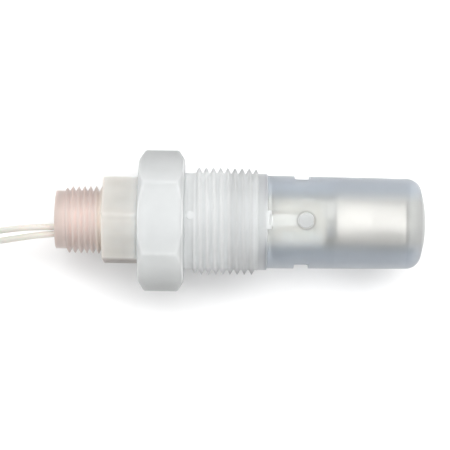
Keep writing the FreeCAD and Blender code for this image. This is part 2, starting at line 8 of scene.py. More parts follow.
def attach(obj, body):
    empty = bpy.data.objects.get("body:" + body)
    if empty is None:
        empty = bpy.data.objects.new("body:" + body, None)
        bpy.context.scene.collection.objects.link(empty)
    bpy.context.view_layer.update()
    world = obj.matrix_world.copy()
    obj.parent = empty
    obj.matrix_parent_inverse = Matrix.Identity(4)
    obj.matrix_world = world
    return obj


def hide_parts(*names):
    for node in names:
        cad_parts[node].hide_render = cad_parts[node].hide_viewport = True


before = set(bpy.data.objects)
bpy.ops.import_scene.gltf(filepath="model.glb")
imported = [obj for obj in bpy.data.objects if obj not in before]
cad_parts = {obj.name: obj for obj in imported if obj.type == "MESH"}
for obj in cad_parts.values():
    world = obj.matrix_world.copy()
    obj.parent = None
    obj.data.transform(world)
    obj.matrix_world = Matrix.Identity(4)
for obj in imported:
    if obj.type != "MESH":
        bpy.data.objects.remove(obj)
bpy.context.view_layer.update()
MM = 0.001
FLOOR = -19.05
scene = bpy.context.scene


# ------------------------------------------------------------------ camera
def make_camera():
    """Looks down on the switch as it lies, from a little to the near side and rolled a little clockwise."""
    cam = bpy.data.cameras.new("camera")
    obj = bpy.data.objects.new("camera", cam)
    scene.collection.objects.link(obj)
    distance = 0.68
    cam.sensor_width = 36.0
    cam.lens = 36.0 * distance / (450 * 0.309 * MM)
    centre = Vector((12.67, -1.09, 0.0)) * MM
    roll = math.radians(0.75)
    lean_x = math.radians(2.4)
    lean_y = math.radians(0.0)
    turn = Matrix.Rotation(roll, 4, "Z") @ Matrix.Rotation(lean_x, 4, "X") @ Matrix.Rotation(lean_y, 4, "Y")
    back = (turn @ Vector((0, 0, 1, 0))).to_3d()
    obj.matrix_world = Matrix.Translation(centre + back * distance) @ turn
    cam.clip_start, cam.clip_end = 0.01, 20.0
    scene.camera = obj


make_camera()


# ------------------------------------------------------------------ materials
def material(name):
    m = bpy.data.materials.new(name)
    m.use_nodes = True
    return m, m.node_tree, m.node_tree.nodes["Principled BSDF"]


def noise(nt, scale, detail=4.0, rough=0.5, stretch=(1, 1, 1)):
    """Noise in the piece's own coordinates; scale is per metre."""
    co = nt.nodes.new("ShaderNodeTexCoord")
    mp = nt.nodes.new("ShaderNodeMapping")
    mp.inputs["Scale"].default_value = stretch
    tx = nt.nodes.new("ShaderNodeTexNoise")
    tx.inputs["Scale"].default_value = scale
    tx.inputs["Detail"].default_value = detail
    tx.inputs["Roughness"].default_value = rough
    nt.links.new(co.outputs["Object"], mp.inputs["Vector"])
    nt.links.new(mp.outputs["Vector"], tx.inputs["Vector"])
    return tx.outputs["Fac"]


def ramp(nt, fac, stops):
    r = nt.nodes.new("ShaderNodeValToRGB")
    els = r.color_ramp.elements
    while len(els) < len(stops):
        els.new(0.5)
    for e, (pos, col) in zip(els, stops):
        e.position = pos
        e.color = (*col, 1.0)
    nt.links.new(fac, r.inputs["Fac"])
    return r.outputs["Color"]


def spread(nt, fac, low, high):
    """A value that runs from low to high as the noise does."""
    r = nt.nodes.new("ShaderNodeMapRange")
    r.inputs["From Min"].default_value = 0.3
    r.inputs["From Max"].default_value = 0.7
    r.inputs["To Min"].default_value = low
    r.inputs["To Max"].default_value = high
    nt.links.new(fac, r.inputs["Value"])
    return r.outputs["Result"]


def bump(nt, bsdf, fac, distance, strength=1.0):
    b = nt.nodes.new("ShaderNodeBump")
    b.inputs["Distance"].default_value = distance
    b.inputs["Strength"].default_value = strength
    nt.links.new(fac, b.inputs["Height"])
    nt.links.new(b.outputs["Normal"], bsdf.inputs["Normal"])


def rgb(r, g, b):
    """A screen colour out of 255 as the shader's own value."""
    def one(c):
        c /= 255.0
        return c / 12.92 if c <= 0.04045 else ((c + 0.055) / 1.055) ** 2.4
    return (one(r), one(g), one(b))


def along(nt, stops, low=-0.040, high=0.080):
    """A grey value that changes along the X axis; stops are (x in metres, value)."""
    co = nt.nodes.new("ShaderNodeTexCoord")
    sep = nt.nodes.new("ShaderNodeSeparateXYZ")
    nt.links.new(co.outputs["Object"], sep.inputs["Vector"])
    mr = nt.nodes.new("ShaderNodeMapRange")
    mr.inputs["From Min"].default_value = low
    mr.inputs["From Max"].default_value = high
    nt.links.new(sep.outputs["X"], mr.inputs["Value"])
    return ramp(nt, mr.outputs["Result"], [((x - low) / (high - low), (v, v, v)) for x, v in stops])


def maths(nt, kind, a, b):
    n = nt.nodes.new("ShaderNodeMath")
    n.operation = kind
    for k, v in enumerate((a, b)):
        if isinstance(v, (int, float)):
            n.inputs[k].default_value = v
        else:
            nt.links.new(v, n.inputs[k])
    return n.outputs["Value"]


def height_share(nt, low, high, at_low, at_high, x_from, x_to):
    """A grey value that runs with the height Z, and fades to 1 between two places on the X axis."""
    co = nt.nodes.new("ShaderNodeTexCoord")
    sep = nt.nodes.new("ShaderNodeSeparateXYZ")
    nt.links.new(co.outputs["Object"], sep.inputs["Vector"])
    z = nt.nodes.new("ShaderNodeMapRange")
    z.interpolation_type = "SMOOTHSTEP"
    z.inputs["From Min"].default_value, z.inputs["From Max"].default_value = low, high
    z.inputs["To Min"].default_value, z.inputs["To Max"].default_value = at_low, at_high
    nt.links.new(sep.outputs["Z"], z.inputs["Value"])
    x = nt.nodes.new("ShaderNodeMapRange")
    x.inputs["From Min"].default_value, x.inputs["From Max"].default_value = x_from, x_to
    nt.links.new(sep.outputs["X"], x.inputs["Value"])
    mix = nt.nodes.new("ShaderNodeMix")
    mix.data_type = "RGBA"
    nt.links.new(x.outputs["Result"], mix.inputs["Factor"])
    nt.links.new(z.outputs["Result"], mix.inputs["A"])
    mix.inputs["B"].default_value = (1.0, 1.0, 1.0, 1.0)
    return mix.outputs["Result"]


def by_radius(nt, stops, x_from, x_to):
    """A grey value that runs with the distance from the X axis, for a thread between two places on it, and 1 elsewhere."""
    co = nt.nodes.new("ShaderNodeTexCoord")
    flat = nt.nodes.new("ShaderNodeVectorMath")
    flat.operation = "MULTIPLY"
    flat.inputs[1].default_value = (0.0, 1.0, 1.0)
    nt.links.new(co.outputs["Object"], flat.inputs[0])
    far = nt.nodes.new("ShaderNodeVectorMath")
    far.operation = "LENGTH"
    nt.links.new(flat.outputs["Vector"], far.inputs[0])
    r = nt.nodes.new("ShaderNodeMapRange")
    (r0, v0), (r1, v1) = stops
    r.inputs["From Min"].default_value, r.inputs["From Max"].default_value = r0, r1
    r.inputs["To Min"].default_value, r.inputs["To Max"].default_value = v0, v1
    nt.links.new(far.outputs["Value"], r.inputs["Value"])
    inside = along(nt, [(x_from - 0.0004, 0.0), (x_from, 1.0), (x_to, 1.0), (x_to + 0.0004, 0.0)])
    mix = nt.nodes.new("ShaderNodeMix")
    mix.data_type = "RGBA"
    nt.links.new(inside, mix.inputs["Factor"])
    mix.inputs["A"].default_value = (1.0, 1.0, 1.0, 1.0)
    nt.links.new(r.outputs["Result"], mix.inputs["B"])
    return mix.outputs["Result"]


def beside_axis(nt, stops, far, side=0):
    """A colour that runs with the distance from the XZ plane, to both sides, or to the side of +Y (1) or of -Y (-1) alone;
    stops are (metres, colour)."""
    co = nt.nodes.new("ShaderNodeTexCoord")
    sep = nt.nodes.new("ShaderNodeSeparateXYZ")
    nt.links.new(co.outputs["Object"], sep.inputs["Vector"])
    away = nt.nodes.new("ShaderNodeMath")
    if side:
        away.operation = "MULTIPLY"
        away.inputs[1].default_value = side
    else:
        away.operation = "ABSOLUTE"
    nt.links.new(sep.outputs["Y"], away.inputs[0])
    mr = nt.nodes.new("ShaderNodeMapRange")
    mr.inputs["From Min"].default_value, mr.inputs["From Max"].default_value = 0.0, far
    nt.links.new(away.outputs["Value"], mr.inputs["Value"])
    return ramp(nt, mr.outputs["Result"], [(at / far, col) for at, col in stops])


def between(nt, col, x_from, x_to):
    """The colour between two places on the X axis, and white elsewhere."""
    mix = nt.nodes.new("ShaderNodeMix")
    mix.data_type = "RGBA"
    nt.links.new(along(nt, [(x_from - 0.0003, 0.0), (x_from, 1.0), (x_to, 1.0), (x_to + 0.0003, 0.0)]), mix.inputs["Factor"])
    mix.inputs["A"].default_value = (1.0, 1.0, 1.0, 1.0)
    nt.links.new(col, mix.inputs["B"])
    return mix.outputs["Result"]


def spot(nt, place, inner, outer, value):
    """A grey value that is 1, but reaches another value round one place."""
    co = nt.nodes.new("ShaderNodeTexCoord")
    d = nt.nodes.new("ShaderNodeVectorMath")
    d.operation = "DISTANCE"
    d.inputs[1].default_value = place
    nt.links.new(co.outputs["Object"], d.inputs[0])
    r = nt.nodes.new("ShaderNodeMapRange")
    r.interpolation_type = "SMOOTHSTEP"
    r.inputs["From Min"].default_value, r.inputs["From Max"].default_value = inner, outer
    r.inputs["To Min"].default_value, r.inputs["To Max"].default_value = value, 1.0
    nt.links.new(d.outputs["Value"], r.inputs["Value"])
    return r.outputs["Result"]


def multiplied(nt, a, b):
    mix = nt.nodes.new("ShaderNodeMix")
    mix.data_type = "RGBA"
    mix.blend_type = "MULTIPLY"
    mix.inputs["Factor"].default_value = 1.0
    nt.links.new(a, mix.inputs["A"])
    nt.links.new(b, mix.inputs["B"])
    return mix.outputs["Result"]


def softened(nt, bsdf, share, flats, fac, distance, strength):
    """Turns the normal of a thread's flanks toward the barrel's own, as light spreading inside the plastic does, and the
    normal of a hexagon's flats partly so but not that of its end faces, and adds the fine bump."""
    co = nt.nodes.new("ShaderNodeTexCoord")
    flat = nt.nodes.new("ShaderNodeVectorMath")
    flat.operation = "MULTIPLY"
    flat.inputs[1].default_value = (0.0, 1.0, 1.0)
    nt.links.new(co.outputs["Object"], flat.inputs[0])
    unit = nt.nodes.new("ShaderNodeVectorMath")
    unit.operation = "NORMALIZE"
    nt.links.new(flat.outputs["Vector"], unit.inputs[0])
    geo = nt.nodes.new("ShaderNodeNewGeometry")
    facing = nt.nodes.new("ShaderNodeSeparateXYZ")
    nt.links.new(geo.outputs["Normal"], facing.inputs["Vector"])
    side = maths(nt, "SUBTRACT", 1.0, maths(nt, "POWER", maths(nt, "ABSOLUTE", facing.outputs["X"], 0.0), 4.0))
    mix = nt.nodes.new("ShaderNodeMix")
    mix.data_type = "VECTOR"
    nt.links.new(maths(nt, "ADD", share, maths(nt, "MULTIPLY", flats, side)), mix.inputs["Factor"])
    nt.links.new(geo.outputs["Normal"], mix.inputs[4])
    nt.links.new(unit.outputs["Vector"], mix.inputs[5])
    b = nt.nodes.new("ShaderNodeBump")
    b.inputs["Distance"].default_value = distance
    b.inputs["Strength"].default_value = strength
    nt.links.new(fac, b.inputs["Height"])
    nt.links.new(mix.outputs[1], b.inputs["Normal"])
    nt.links.new(b.outputs["Normal"], bsdf.inputs["Normal"])


def lamps_through(nt, bsdf, share, tint):
    """Lets that share of a lamp's light straight through the surface."""
    light = nt.nodes.new("ShaderNodeLightPath")
    clear = nt.nodes.new("ShaderNodeBsdfTransparent")
    clear.inputs["Color"].default_value = (*tint, 1.0)
    mix = nt.nodes.new("ShaderNodeMixShader")
    fac = light.outputs["Is Shadow Ray"] if share is None else maths(nt, "MULTIPLY", light.outputs["Is Shadow Ray"], share)
    nt.links.new(fac, mix.inputs["Fac"])
    nt.links.new(bsdf.outputs["BSDF"], mix.inputs[1])
    nt.links.new(clear.outputs["BSDF"], mix.inputs[2])
    nt.links.new(mix.outputs["Shader"], nt.nodes["Material Output"].inputs["Surface"])


def milky():
    """Milky polypropylene with a bluish cast: dense in the hexagon, clearer where the wall is thin toward the nose. Its
    colour also holds painted light and shade, set by place along the axis, by height, by radius on the thread and by
    side.
    """
    m, nt, b = material("milky_plastic")
    n = noise(nt, 120.0, 3.0)
    col = ramp(nt, n, [(0.3, rgb(200, 202, 202)), (0.7, rgb(205, 207, 207))])
    # Painted light and shade along the axis: darker on the hexagon's edge roundings and at the thread's start, lighter
    # in the corner between hexagon and neck, and lighter toward the nose.
    col = multiplied(nt, col, along(nt, [(-0.0139, 0.90), (-0.0129, 0.94), (-0.0116, 1.0), (-0.0018, 1.0), (-0.0011, 0.97), (-0.0008, 0.86), (-0.0005, 0.86), (-0.0001, 1.14), (0.0006, 1.20), (0.0012, 1.06), (0.0019, 1.05), (0.0025, 0.98), (0.0031, 0.98), (0.0037, 1.07), (0.0045, 1.06), (0.0120, 1.05), (0.0150, 1.15), (0.0220, 1.22), (0.0235, 1.17), (0.0252, 1.13), (0.0257, 1.25)]))
    # Painted shade: the hexagon darker toward the bottom, down to two thirds of its colour, fading out at the neck.
    col = multiplied(nt, col, height_share(nt, -0.002, 0.0180, 0.66, 1.0, -0.0003, 0.0008))
    # Painted light and shade on the tank thread: lighter toward the roots and darker toward the crests, to even out the
    # grooves' shading.
    col = multiplied(nt, col, by_radius(nt, ((0.0148, 1.19), (0.0164, 0.88)), 0.0042, 0.0218))
    # Painted highlight on the gate nub.
    col = multiplied(nt, col, spot(nt, (0.0020, 0.0011, 0.0149), 0.0008, 0.0020, 1.10))
    # Painted shade on the snap button, which sits in its hole.
    col = multiplied(nt, col, spot(nt, (0.0373, 0.0, 0.0141), 0.0021, 0.0026, 0.715))
    # Painted highlight: a soft lighter patch in the middle of the hexagon's front flat.
    col = multiplied(nt, col, spot(nt, (-0.0070, 0.0, 0.0190), 0.0040, 0.0115, 1.05))
    b.inputs["Subsurface Weight"].default_value = 0.95
    b.inputs["Subsurface Radius"].default_value = (1.0, 1.0, 1.0)
    b.inputs["Subsurface Scale"].default_value = 0.0050
    b.inputs["Specular IOR Level"].default_value = 0.25
    nt.links.new(spread(nt, noise(nt, 900.0, 4.0), 0.42, 0.52), b.inputs["Roughness"])
    b.inputs["IOR"].default_value = 1.49
    # Painted light and shade by side: on the neck and thread, the near side (-Y) lighter and the far side (+Y) slightly
    # darker, and both darker toward the outline.
    col = multiplied(nt, col, between(nt, beside_axis(nt, [(0.0040, (1.0, 1.0, 1.0)), (0.0125, (1.15, 1.15, 1.15)), (0.0144, (1.10, 1.10, 1.10)), (0.0156, (0.72, 0.71, 0.73))], 0.020, -1), 0.0003, 0.0226))
    col = multiplied(nt, col, between(nt, beside_axis(nt, [(0.0040, (1.0, 1.0, 1.0)), (0.0090, (0.98, 0.98, 0.98)), (0.0144, (1.04, 1.04, 1.04)), (0.0156, (0.72, 0.71, 0.73))], 0.020, 1), 0.0003, 0.0226))
    # Painted shade: the nose darker away from the axis on both sides.
    col = multiplied(nt, col, between(nt, beside_axis(nt, [(0.0050, (1.0, 1.0, 1.0)), (0.0110, (0.82, 0.82, 0.84))], 0.020), 0.0230, 0.0255))
    # Painted light and shade on the hexagon: the near side lighter, the far side darker.
    col = multiplied(nt, col, between(nt, beside_axis(nt, [(0.0060, (1.0, 1.0, 1.0)), (0.0130, (1.07, 1.07, 1.06))], 0.022, -1), -0.0142, 0.0))
    col = multiplied(nt, col, between(nt, beside_axis(nt, [(0.0085, (1.0, 1.0, 1.0)), (0.0120, (0.90, 0.90, 0.90)), (0.0150, (0.90, 0.90, 0.90)), (0.0180, (0.95, 0.95, 0.95))], 0.022, 1), -0.0142, 0.0))
    # Painted shade: the thread's end by the nose darker toward both sides.
    col = multiplied(nt, col, between(nt, beside_axis(nt, [(0.0110, (1.0, 1.0, 1.0)), (0.0135, (0.88, 0.88, 0.88))], 0.020, 1), 0.0198, 0.0228))
    col = multiplied(nt, col, between(nt, beside_axis(nt, [(0.0085, (1.0, 1.0, 1.0)), (0.0115, (0.88, 0.88, 0.88))], 0.020, -1), 0.0198, 0.0228))
    # Painted shade: the nose's end edge darker toward both sides, most on the near side.
    col = multiplied(nt, col, between(nt, beside_axis(nt, [(0.0035, (1.0, 1.0, 1.0)), (0.0065, (0.74, 0.74, 0.76))], 0.020, 1), 0.0249, 0.0257))
    col = multiplied(nt, col, between(nt, beside_axis(nt, [(0.0050, (1.0, 1.0, 1.0)), (0.0085, (0.58, 0.60, 0.62))], 0.020, -1), 0.0249, 0.0257))
    nt.links.new(col, b.inputs["Base Color"])
    clear = along(nt, [(0.0125, 0.0), (0.0150, 0.30), (0.0225, 0.32), (0.0235, 0.38), (0.0248, 0.38), (0.0254, 0.10)])
    nt.links.new(clear, b.inputs["Transmission Weight"])
    softened(nt, b, along(nt, [(0.0015, 0.0), (0.0030, 0.92), (0.0135, 0.92), (0.0155, 0.86), (0.0225, 0.86), (0.0235, 0.0)]), along(nt, [(-0.0006, 0.60), (0.0, 0.0)]), noise(nt, 1400.0, 3.0), 0.00002, 0.4)
    lamps_through(nt, b, clear, (0.88, 0.89, 0.90))
    return m


def stem_plastic():
    """The same moulding material: pink where the compound fills the conduit end, warm white past it. Painted light and
    shade are multiplied in: on the conduit thread, the collar's sides, facet and corners, the boss and the stem in the
    gap.
    """
    m, nt, b = material("stem_plastic")
    co = nt.nodes.new("ShaderNodeTexCoord")
    sep = nt.nodes.new("ShaderNodeSeparateXYZ")
    nt.links.new(co.outputs["Object"], sep.inputs["Vector"])
    mr = nt.nodes.new("ShaderNodeMapRange")
    mr.inputs["From Min"].default_value = -0.0400
    mr.inputs["From Max"].default_value = -0.0100
    nt.links.new(sep.outputs["X"], mr.inputs["Value"])
    pink = ramp(
        nt,
        mr.outputs["Result"],
        [
            (0.0, rgb(195, 182, 176)),
            (0.20, rgb(224, 206, 198)),
            (0.40, rgb(221, 204, 197)),
            (0.49, rgb(199, 190, 181)),
            (0.53, rgb(190, 188, 183)),
            (0.85, rgb(190, 189, 185)),
            (1.0, rgb(207, 206, 202)),
        ],
    )
    col = multiplied(nt, pink, ramp(nt, noise(nt, 260.0, 3.0), [(0.3, (0.96, 0.96, 0.96)), (0.7, (1.0, 1.0, 1.0))]))
    # Painted light and shade on the conduit thread: lighter toward the roots and darker toward the crests.
    col = multiplied(nt, col, by_radius(nt, ((0.0090, 1.10), (0.0103, 0.90)), -0.0366, -0.0252))
    # Painted shade: the conduit end darker away from the axis, and more so on the far side.
    col = multiplied(nt, col, between(nt, beside_axis(nt, [(0.0020, (1.0, 1.0, 1.0)), (0.0080, (0.84, 0.84, 0.84))], 0.015), -0.0385, -0.0252))
    col = multiplied(nt, col, between(nt, beside_axis(nt, [(0.0020, (1.0, 1.0, 1.0)), (0.0075, (0.86, 0.84, 0.84))], 0.015, 1), -0.0385, -0.0252))
    # Painted light: the collar lighter toward its sides, and more so on the near side.
    col = multiplied(nt, col, between(nt, beside_axis(nt, [(0.0060, (1.04, 1.04, 1.04)), (0.0085, (1.12, 1.12, 1.12))], 0.015), -0.0247, -0.0141))
    col = multiplied(nt, col, between(nt, beside_axis(nt, [(0.0, (1.0, 1.0, 1.0)), (0.0009, (1.11, 1.11, 1.11)), (0.0045, (1.12, 1.12, 1.12)), (0.0064, (1.02, 1.02, 1.02)), (0.0080, (1.0, 1.0, 1.0))], 0.015, -1), -0.0247, -0.0141))
    # Painted light in the corners: lighter where the conduit thread meets the collar and where the collar meets the
    # hexagon.
    col = multiplied(nt, col, along(nt, [(-0.0277, 1.0), (-0.0270, 1.08), (-0.0263, 1.36), (-0.0257, 1.48), (-0.0251, 1.45), (-0.0248, 1.0), (-0.0182, 1.0), (-0.0173, 1.04), (-0.0165, 1.11), (-0.0155, 1.28), (-0.0142, 1.55), (-0.0130, 1.0)]))
    # Painted light: the collar's near side lighter.
    col = multiplied(nt, col, between(nt, beside_axis(nt, [(0.0040, (1.0, 1.0, 1.0)), (0.0080, (1.07, 1.07, 1.07))], 0.015, -1), -0.0247, -0.0141))
    # Painted shade: the collar's near facet, which faces away from the lamps, much darker.
    col = multiplied(nt, col, between(nt, beside_axis(nt, [(0.0117, (1.0, 1.0, 1.0)), (0.0125, (0.40, 0.36, 0.35))], 0.015, -1), -0.0247, -0.0141))
    # Painted light: the boss's near side lighter.
    col = multiplied(nt, col, between(nt, beside_axis(nt, [(0.0010, (1.0, 1.0, 1.0)), (0.0055, (1.58, 1.60, 1.63))], 0.015, -1), 0.0240, 0.0434))
    # Painted light: the stem lighter in the gap between the boss and the float, with a little random tone.
    col = multiplied(nt, col, between(nt, ramp(nt, noise(nt, 260.0, 3.0), [(0.3, (1.62, 1.63, 1.64)), (0.7, (1.66, 1.67, 1.68))]), 0.0437, 0.0460))
    nt.links.new(col, b.inputs["Base Color"])
    b.inputs["Subsurface Weight"].default_value = 0.95
    b.inputs["Subsurface Radius"].default_value = (1.1, 1.0, 0.95)
    nt.links.new(along(nt, [(-0.0252, 0.0010), (-0.0244, 0.0060)]), b.inputs["Subsurface Scale"])
    b.inputs["Specular IOR Level"].default_value = 0.25
    nt.links.new(spread(nt, noise(nt, 900.0, 4.0), 0.34, 0.45), b.inputs["Roughness"])
    b.inputs["IOR"].default_value = 1.49
    softened(nt, b, along(nt, [(-0.0380, 0.0), (-0.0365, 0.9), (-0.0255, 0.9), (-0.0247, 0.0)]), along(nt, [(-0.0249, 0.0), (-0.0247, 0.85), (-0.0139, 0.85), (-0.0137, 0.0)]), noise(nt, 1400.0, 3.0), 0.00002, 0.4)
    return m


def frosted():
    """Thin frosted polypropylene: what is inside shows softly, and lamps reach it through the wall. Its colour holds
    painted shade, darker and bluer toward the sides, and painted light and shade over the float, the gap, the arms and
    the tip.
    """
    m, nt, b = material("frosted_plastic")
    n = noise(nt, 150.0, 3.0)
    col = ramp(nt, n, [(0.3, (0.97, 0.97, 0.97)), (0.7, (1.0, 1.0, 1.0))])
    # The wall's colour, with painted shade: neutral near the XZ plane, darker and bluer toward the sides.
    col = multiplied(nt, col, beside_axis(nt, [(0.0060, rgb(204, 205, 203)), (0.0095, rgb(202, 208, 214)), (0.0110, rgb(199, 205, 212)), (0.0132, rgb(182, 188, 195))], 0.015))
    # Painted light: the tip lighter past the float's end.
    col = multiplied(nt, col, along(nt, [(0.0675, 1.0), (0.0700, 1.07), (0.0722, 1.02), (0.0730, 0.95)]))
    # Painted shade: the tip's near side darker.
    col = multiplied(nt, col, between(nt, beside_axis(nt, [(0.0010, (1.0, 1.0, 1.0)), (0.0065, (0.90, 0.90, 0.91))], 0.015, -1), 0.0682, 0.0760))
    # Painted shade: a darker ring round the button hole.
    col = multiplied(nt, col, spot(nt, (0.0373, 0.0, 0.0141), 0.0027, 0.0033, 0.62))
    # Painted shade and light over the float: its far side mostly a little darker, its near side lighter.
    col = multiplied(nt, col, between(nt, beside_axis(nt, [(0.0, (1.0, 1.0, 1.0)), (0.0006, (0.98, 0.98, 0.98)), (0.0018, (0.955, 0.955, 0.955)), (0.0038, (0.955, 0.955, 0.955)), (0.0052, (0.965, 0.965, 0.965)), (0.0070, (1.05, 1.05, 1.05)), (0.0088, (1.0, 1.0, 1.0))], 0.015, 1), 0.0462, 0.0690))
    col = multiplied(nt, col, between(nt, beside_axis(nt, [(0.0, (1.0, 1.0, 1.0)), (0.0018, (1.05, 1.05, 1.05)), (0.0030, (1.07, 1.07, 1.07)), (0.0046, (1.04, 1.04, 1.04)), (0.0060, (1.0, 1.0, 1.0)), (0.0075, (0.985, 0.985, 0.985)), (0.0100, (1.04, 1.04, 1.04)), (0.0125, (1.04, 1.04, 1.04))], 0.015, -1), 0.0462, 0.0690))
    # Painted light: the wall lighter over the gap between boss and float, on both sides.
    col = multiplied(nt, col, between(nt, beside_axis(nt, [(0.0, (1.0, 1.0, 1.0)), (0.0012, (1.09, 1.09, 1.10)), (0.0025, (1.13, 1.13, 1.15)), (0.0045, (1.12, 1.12, 1.15)), (0.0060, (1.0, 1.0, 1.0))], 0.015, -1), 0.0439, 0.0457))
    col = multiplied(nt, col, between(nt, beside_axis(nt, [(0.0, (1.0, 1.0, 1.0)), (0.0012, (1.09, 1.09, 1.09)), (0.0045, (1.08, 1.08, 1.08)), (0.0065, (1.0, 1.0, 1.0))], 0.015, 1), 0.0439, 0.0457))
    # Painted light: the near side lighter over the arm and button, and over the spigot.
    col = multiplied(nt, col, between(nt, beside_axis(nt, [(0.0014, (1.0, 1.0, 1.0)), (0.0027, (1.14, 1.14, 1.14)), (0.0042, (1.08, 1.08, 1.08)), (0.0060, (1.04, 1.04, 1.04)), (0.0080, (1.0, 1.0, 1.0))], 0.015, -1), 0.0339, 0.0392))
    col = multiplied(nt, col, between(nt, beside_axis(nt, [(0.0005, (1.0, 1.0, 1.0)), (0.0024, (1.15, 1.15, 1.15)), (0.0048, (1.12, 1.12, 1.12)), (0.0066, (1.05, 1.05, 1.05)), (0.0080, (1.0, 1.0, 1.0))], 0.015, -1), 0.0262, 0.0335))
    nt.links.new(col, b.inputs["Base Color"])
    clear = maths(nt, "MAXIMUM", along(nt, [(0.0675, 0.86), (0.0700, 0.52)]), beside_axis(nt, [(0.0035, (0.0, 0.0, 0.0)), (0.0085, (0.84, 0.84, 0.84))], 0.015))
    dull = beside_axis(nt, [(0.0060, (1.0, 1.0, 1.0)), (0.0095, (0.94, 0.94, 0.94)), (0.0132, (0.98, 0.98, 0.98))], 0.015)
    clear = maths(nt, "MULTIPLY", maths(nt, "MULTIPLY", clear, dull), spot(nt, (0.0451, 0.0040, 0.0135), 0.0010, 0.0050, 0.64))
    nt.links.new(clear, b.inputs["Transmission Weight"])
    b.inputs["IOR"].default_value = 1.35
    b.inputs["Roughness"].default_value = 0.30
    lamps_through(nt, b, None, (0.89, 0.885, 0.88))
    return m


def steel(name, colour, low, high):
    """Satin stainless, turned round the axis."""
    m, nt, b = material(name)
    nt.links.new(ramp(nt, noise(nt, 90.0, 4.0), [(0.3, tuple(c * 0.93 for c in colour)), (0.7, colour)]), b.inputs["Base Color"])
    b.inputs["Metallic"].default_value = 1.0
    nt.links.new(spread(nt, noise(nt, 700.0, 5.0, stretch=(6, 1, 1)), low, high), b.inputs["Roughness"])
    bump(nt, b, noise(nt, 1500.0, 5.0, stretch=(6, 1, 1)), 0.00001, 0.4)
    return m


def simple(name, dark, light, scale, rough, bump_scale, bump_depth, **sockets):
    m, nt, b = material(name)
    nt.links.new(ramp(nt, noise(nt, scale, 4.0), [(0.3, dark), (0.7, light)]), b.inputs["Base Color"])
    nt.links.new(spread(nt, noise(nt, scale * 3, 4.0), *rough), b.inputs["Roughness"])
    bump(nt, b, noise(nt, bump_scale, 5.0), bump_depth, 0.6)
    for key, val in sockets.items():
        b.inputs[key.replace("_", " ")].default_value = val
    return m


MILKY = milky()
STEM = stem_plastic()
FROSTED = frosted()
FLOAT_STEEL = steel("float_steel", (0.69, 0.677, 0.67), 0.40, 0.48)
CLIP_STEEL = steel("clip_steel", (0.70, 0.70, 0.70), 0.22, 0.32)
PINK = simple("pink_epoxy", rgb(214, 172, 160), rgb(226, 188, 176), 300.0, (0.12, 0.22), 500.0, 0.00003, Subsurface_Weight=0.4, Subsurface_Scale=0.002)
LEAD = simple("lead_insulation", rgb(213, 210, 201), rgb(221, 218, 210), 240.0, (0.26, 0.38), 1200.0, 0.00001, Subsurface_Weight=0.25, Subsurface_Scale=0.0008)
TIN = steel("tinned_copper", (0.80, 0.78, 0.74), 0.25, 0.4)
TIE = simple("tie", rgb(226, 226, 222), rgb(238, 238, 235), 400.0, (0.35, 0.5), 1500.0, 0.00002)
MAGNET = simple("ferrite", (0.02, 0.02, 0.022), (0.05, 0.05, 0.055), 800.0, (0.5, 0.7), 1500.0, 0.00003)
GLASS, _nt, _b = material("capsule_glass")
_b.inputs["Transmission Weight"].default_value = 1.0
_nt.links.new(ramp(_nt, noise(_nt, 300.0), [(0.3, (0.72, 0.86, 0.76)), (0.7, (0.80, 0.92, 0.84))]), _b.inputs["Base Color"])
_nt.links.new(spread(_nt, noise(_nt, 600.0), 0.02, 0.08), _b.inputs["Roughness"])
REED = steel("reed_metal", (0.80, 0.72, 0.55), 0.2, 0.35)
SLEEVE = simple("sleeve", (0.012, 0.012, 0.013), (0.03, 0.03, 0.032), 500.0, (0.4, 0.6), 1200.0, 0.00003)


# ------------------------------------------------------------------ mesh helpers
def make_object(name, verts, faces, mat, sharp=35.0, weld=2e-6):
    """A welded, outward-facing mesh from points in millimetres."""
    me = bpy.data.meshes.new(name)
    me.from_pydata([(x * MM, y * MM, z * MM) for x, y, z in verts], [], faces)
    bm = bmesh.new()
    bm.from_mesh(me)
    bmesh.ops.remove_doubles(bm, verts=bm.verts, dist=weld)
    bmesh.ops.dissolve_degenerate(bm, edges=bm.edges, dist=1e-7)
    bmesh.ops.recalc_face_normals(bm, faces=bm.faces)
    bm.to_mesh(me)
    bm.free()
    me.materials.append(mat)
    me.shade_smooth()
    me.set_sharp_from_angle(angle=math.radians(sharp))
    ob = bpy.data.objects.new(name, me)
    scene.collection.objects.link(ob)
    return ob


def column_angles(step, corners, beside):
    """Angles in degrees: one every step, and more beside each corner."""
    angles = [step * k for k in range(int(round(360 / step)))]
    extra = sorted({round((c + s * d) % 360, 4) for c in corners for d in beside for s in (1, -1)})
    angles = [a for a in angles if all(min(abs(a - e), 360 - abs(a - e)) > 0.15 for e in extra)]
    return sorted(angles + extra)


def ring_grid(angles, profile):
    """Points and quads of a surface about the X axis. profile(t) gives the same number of (x, radius) for every angle t."""
    verts, faces = [], []
    rows = None
    start = angles[0]
    for deg in angles + [start + 360]:
        t = math.radians(deg)
        line = profile(t)
        rows = rows or len(line)
        if len(line) != rows:
            raise ValueError("a profile changed its number of points")
        c, s = math.cos(t), math.sin(t)
        verts += [(x, r * c, r * s) for x, r in line]
    for i in range(len(angles)):
        for j in range(rows - 1):
            a = i * rows + j
            faces.append((a, a + 1, a + rows + 1, a + rows))
    return verts, faces


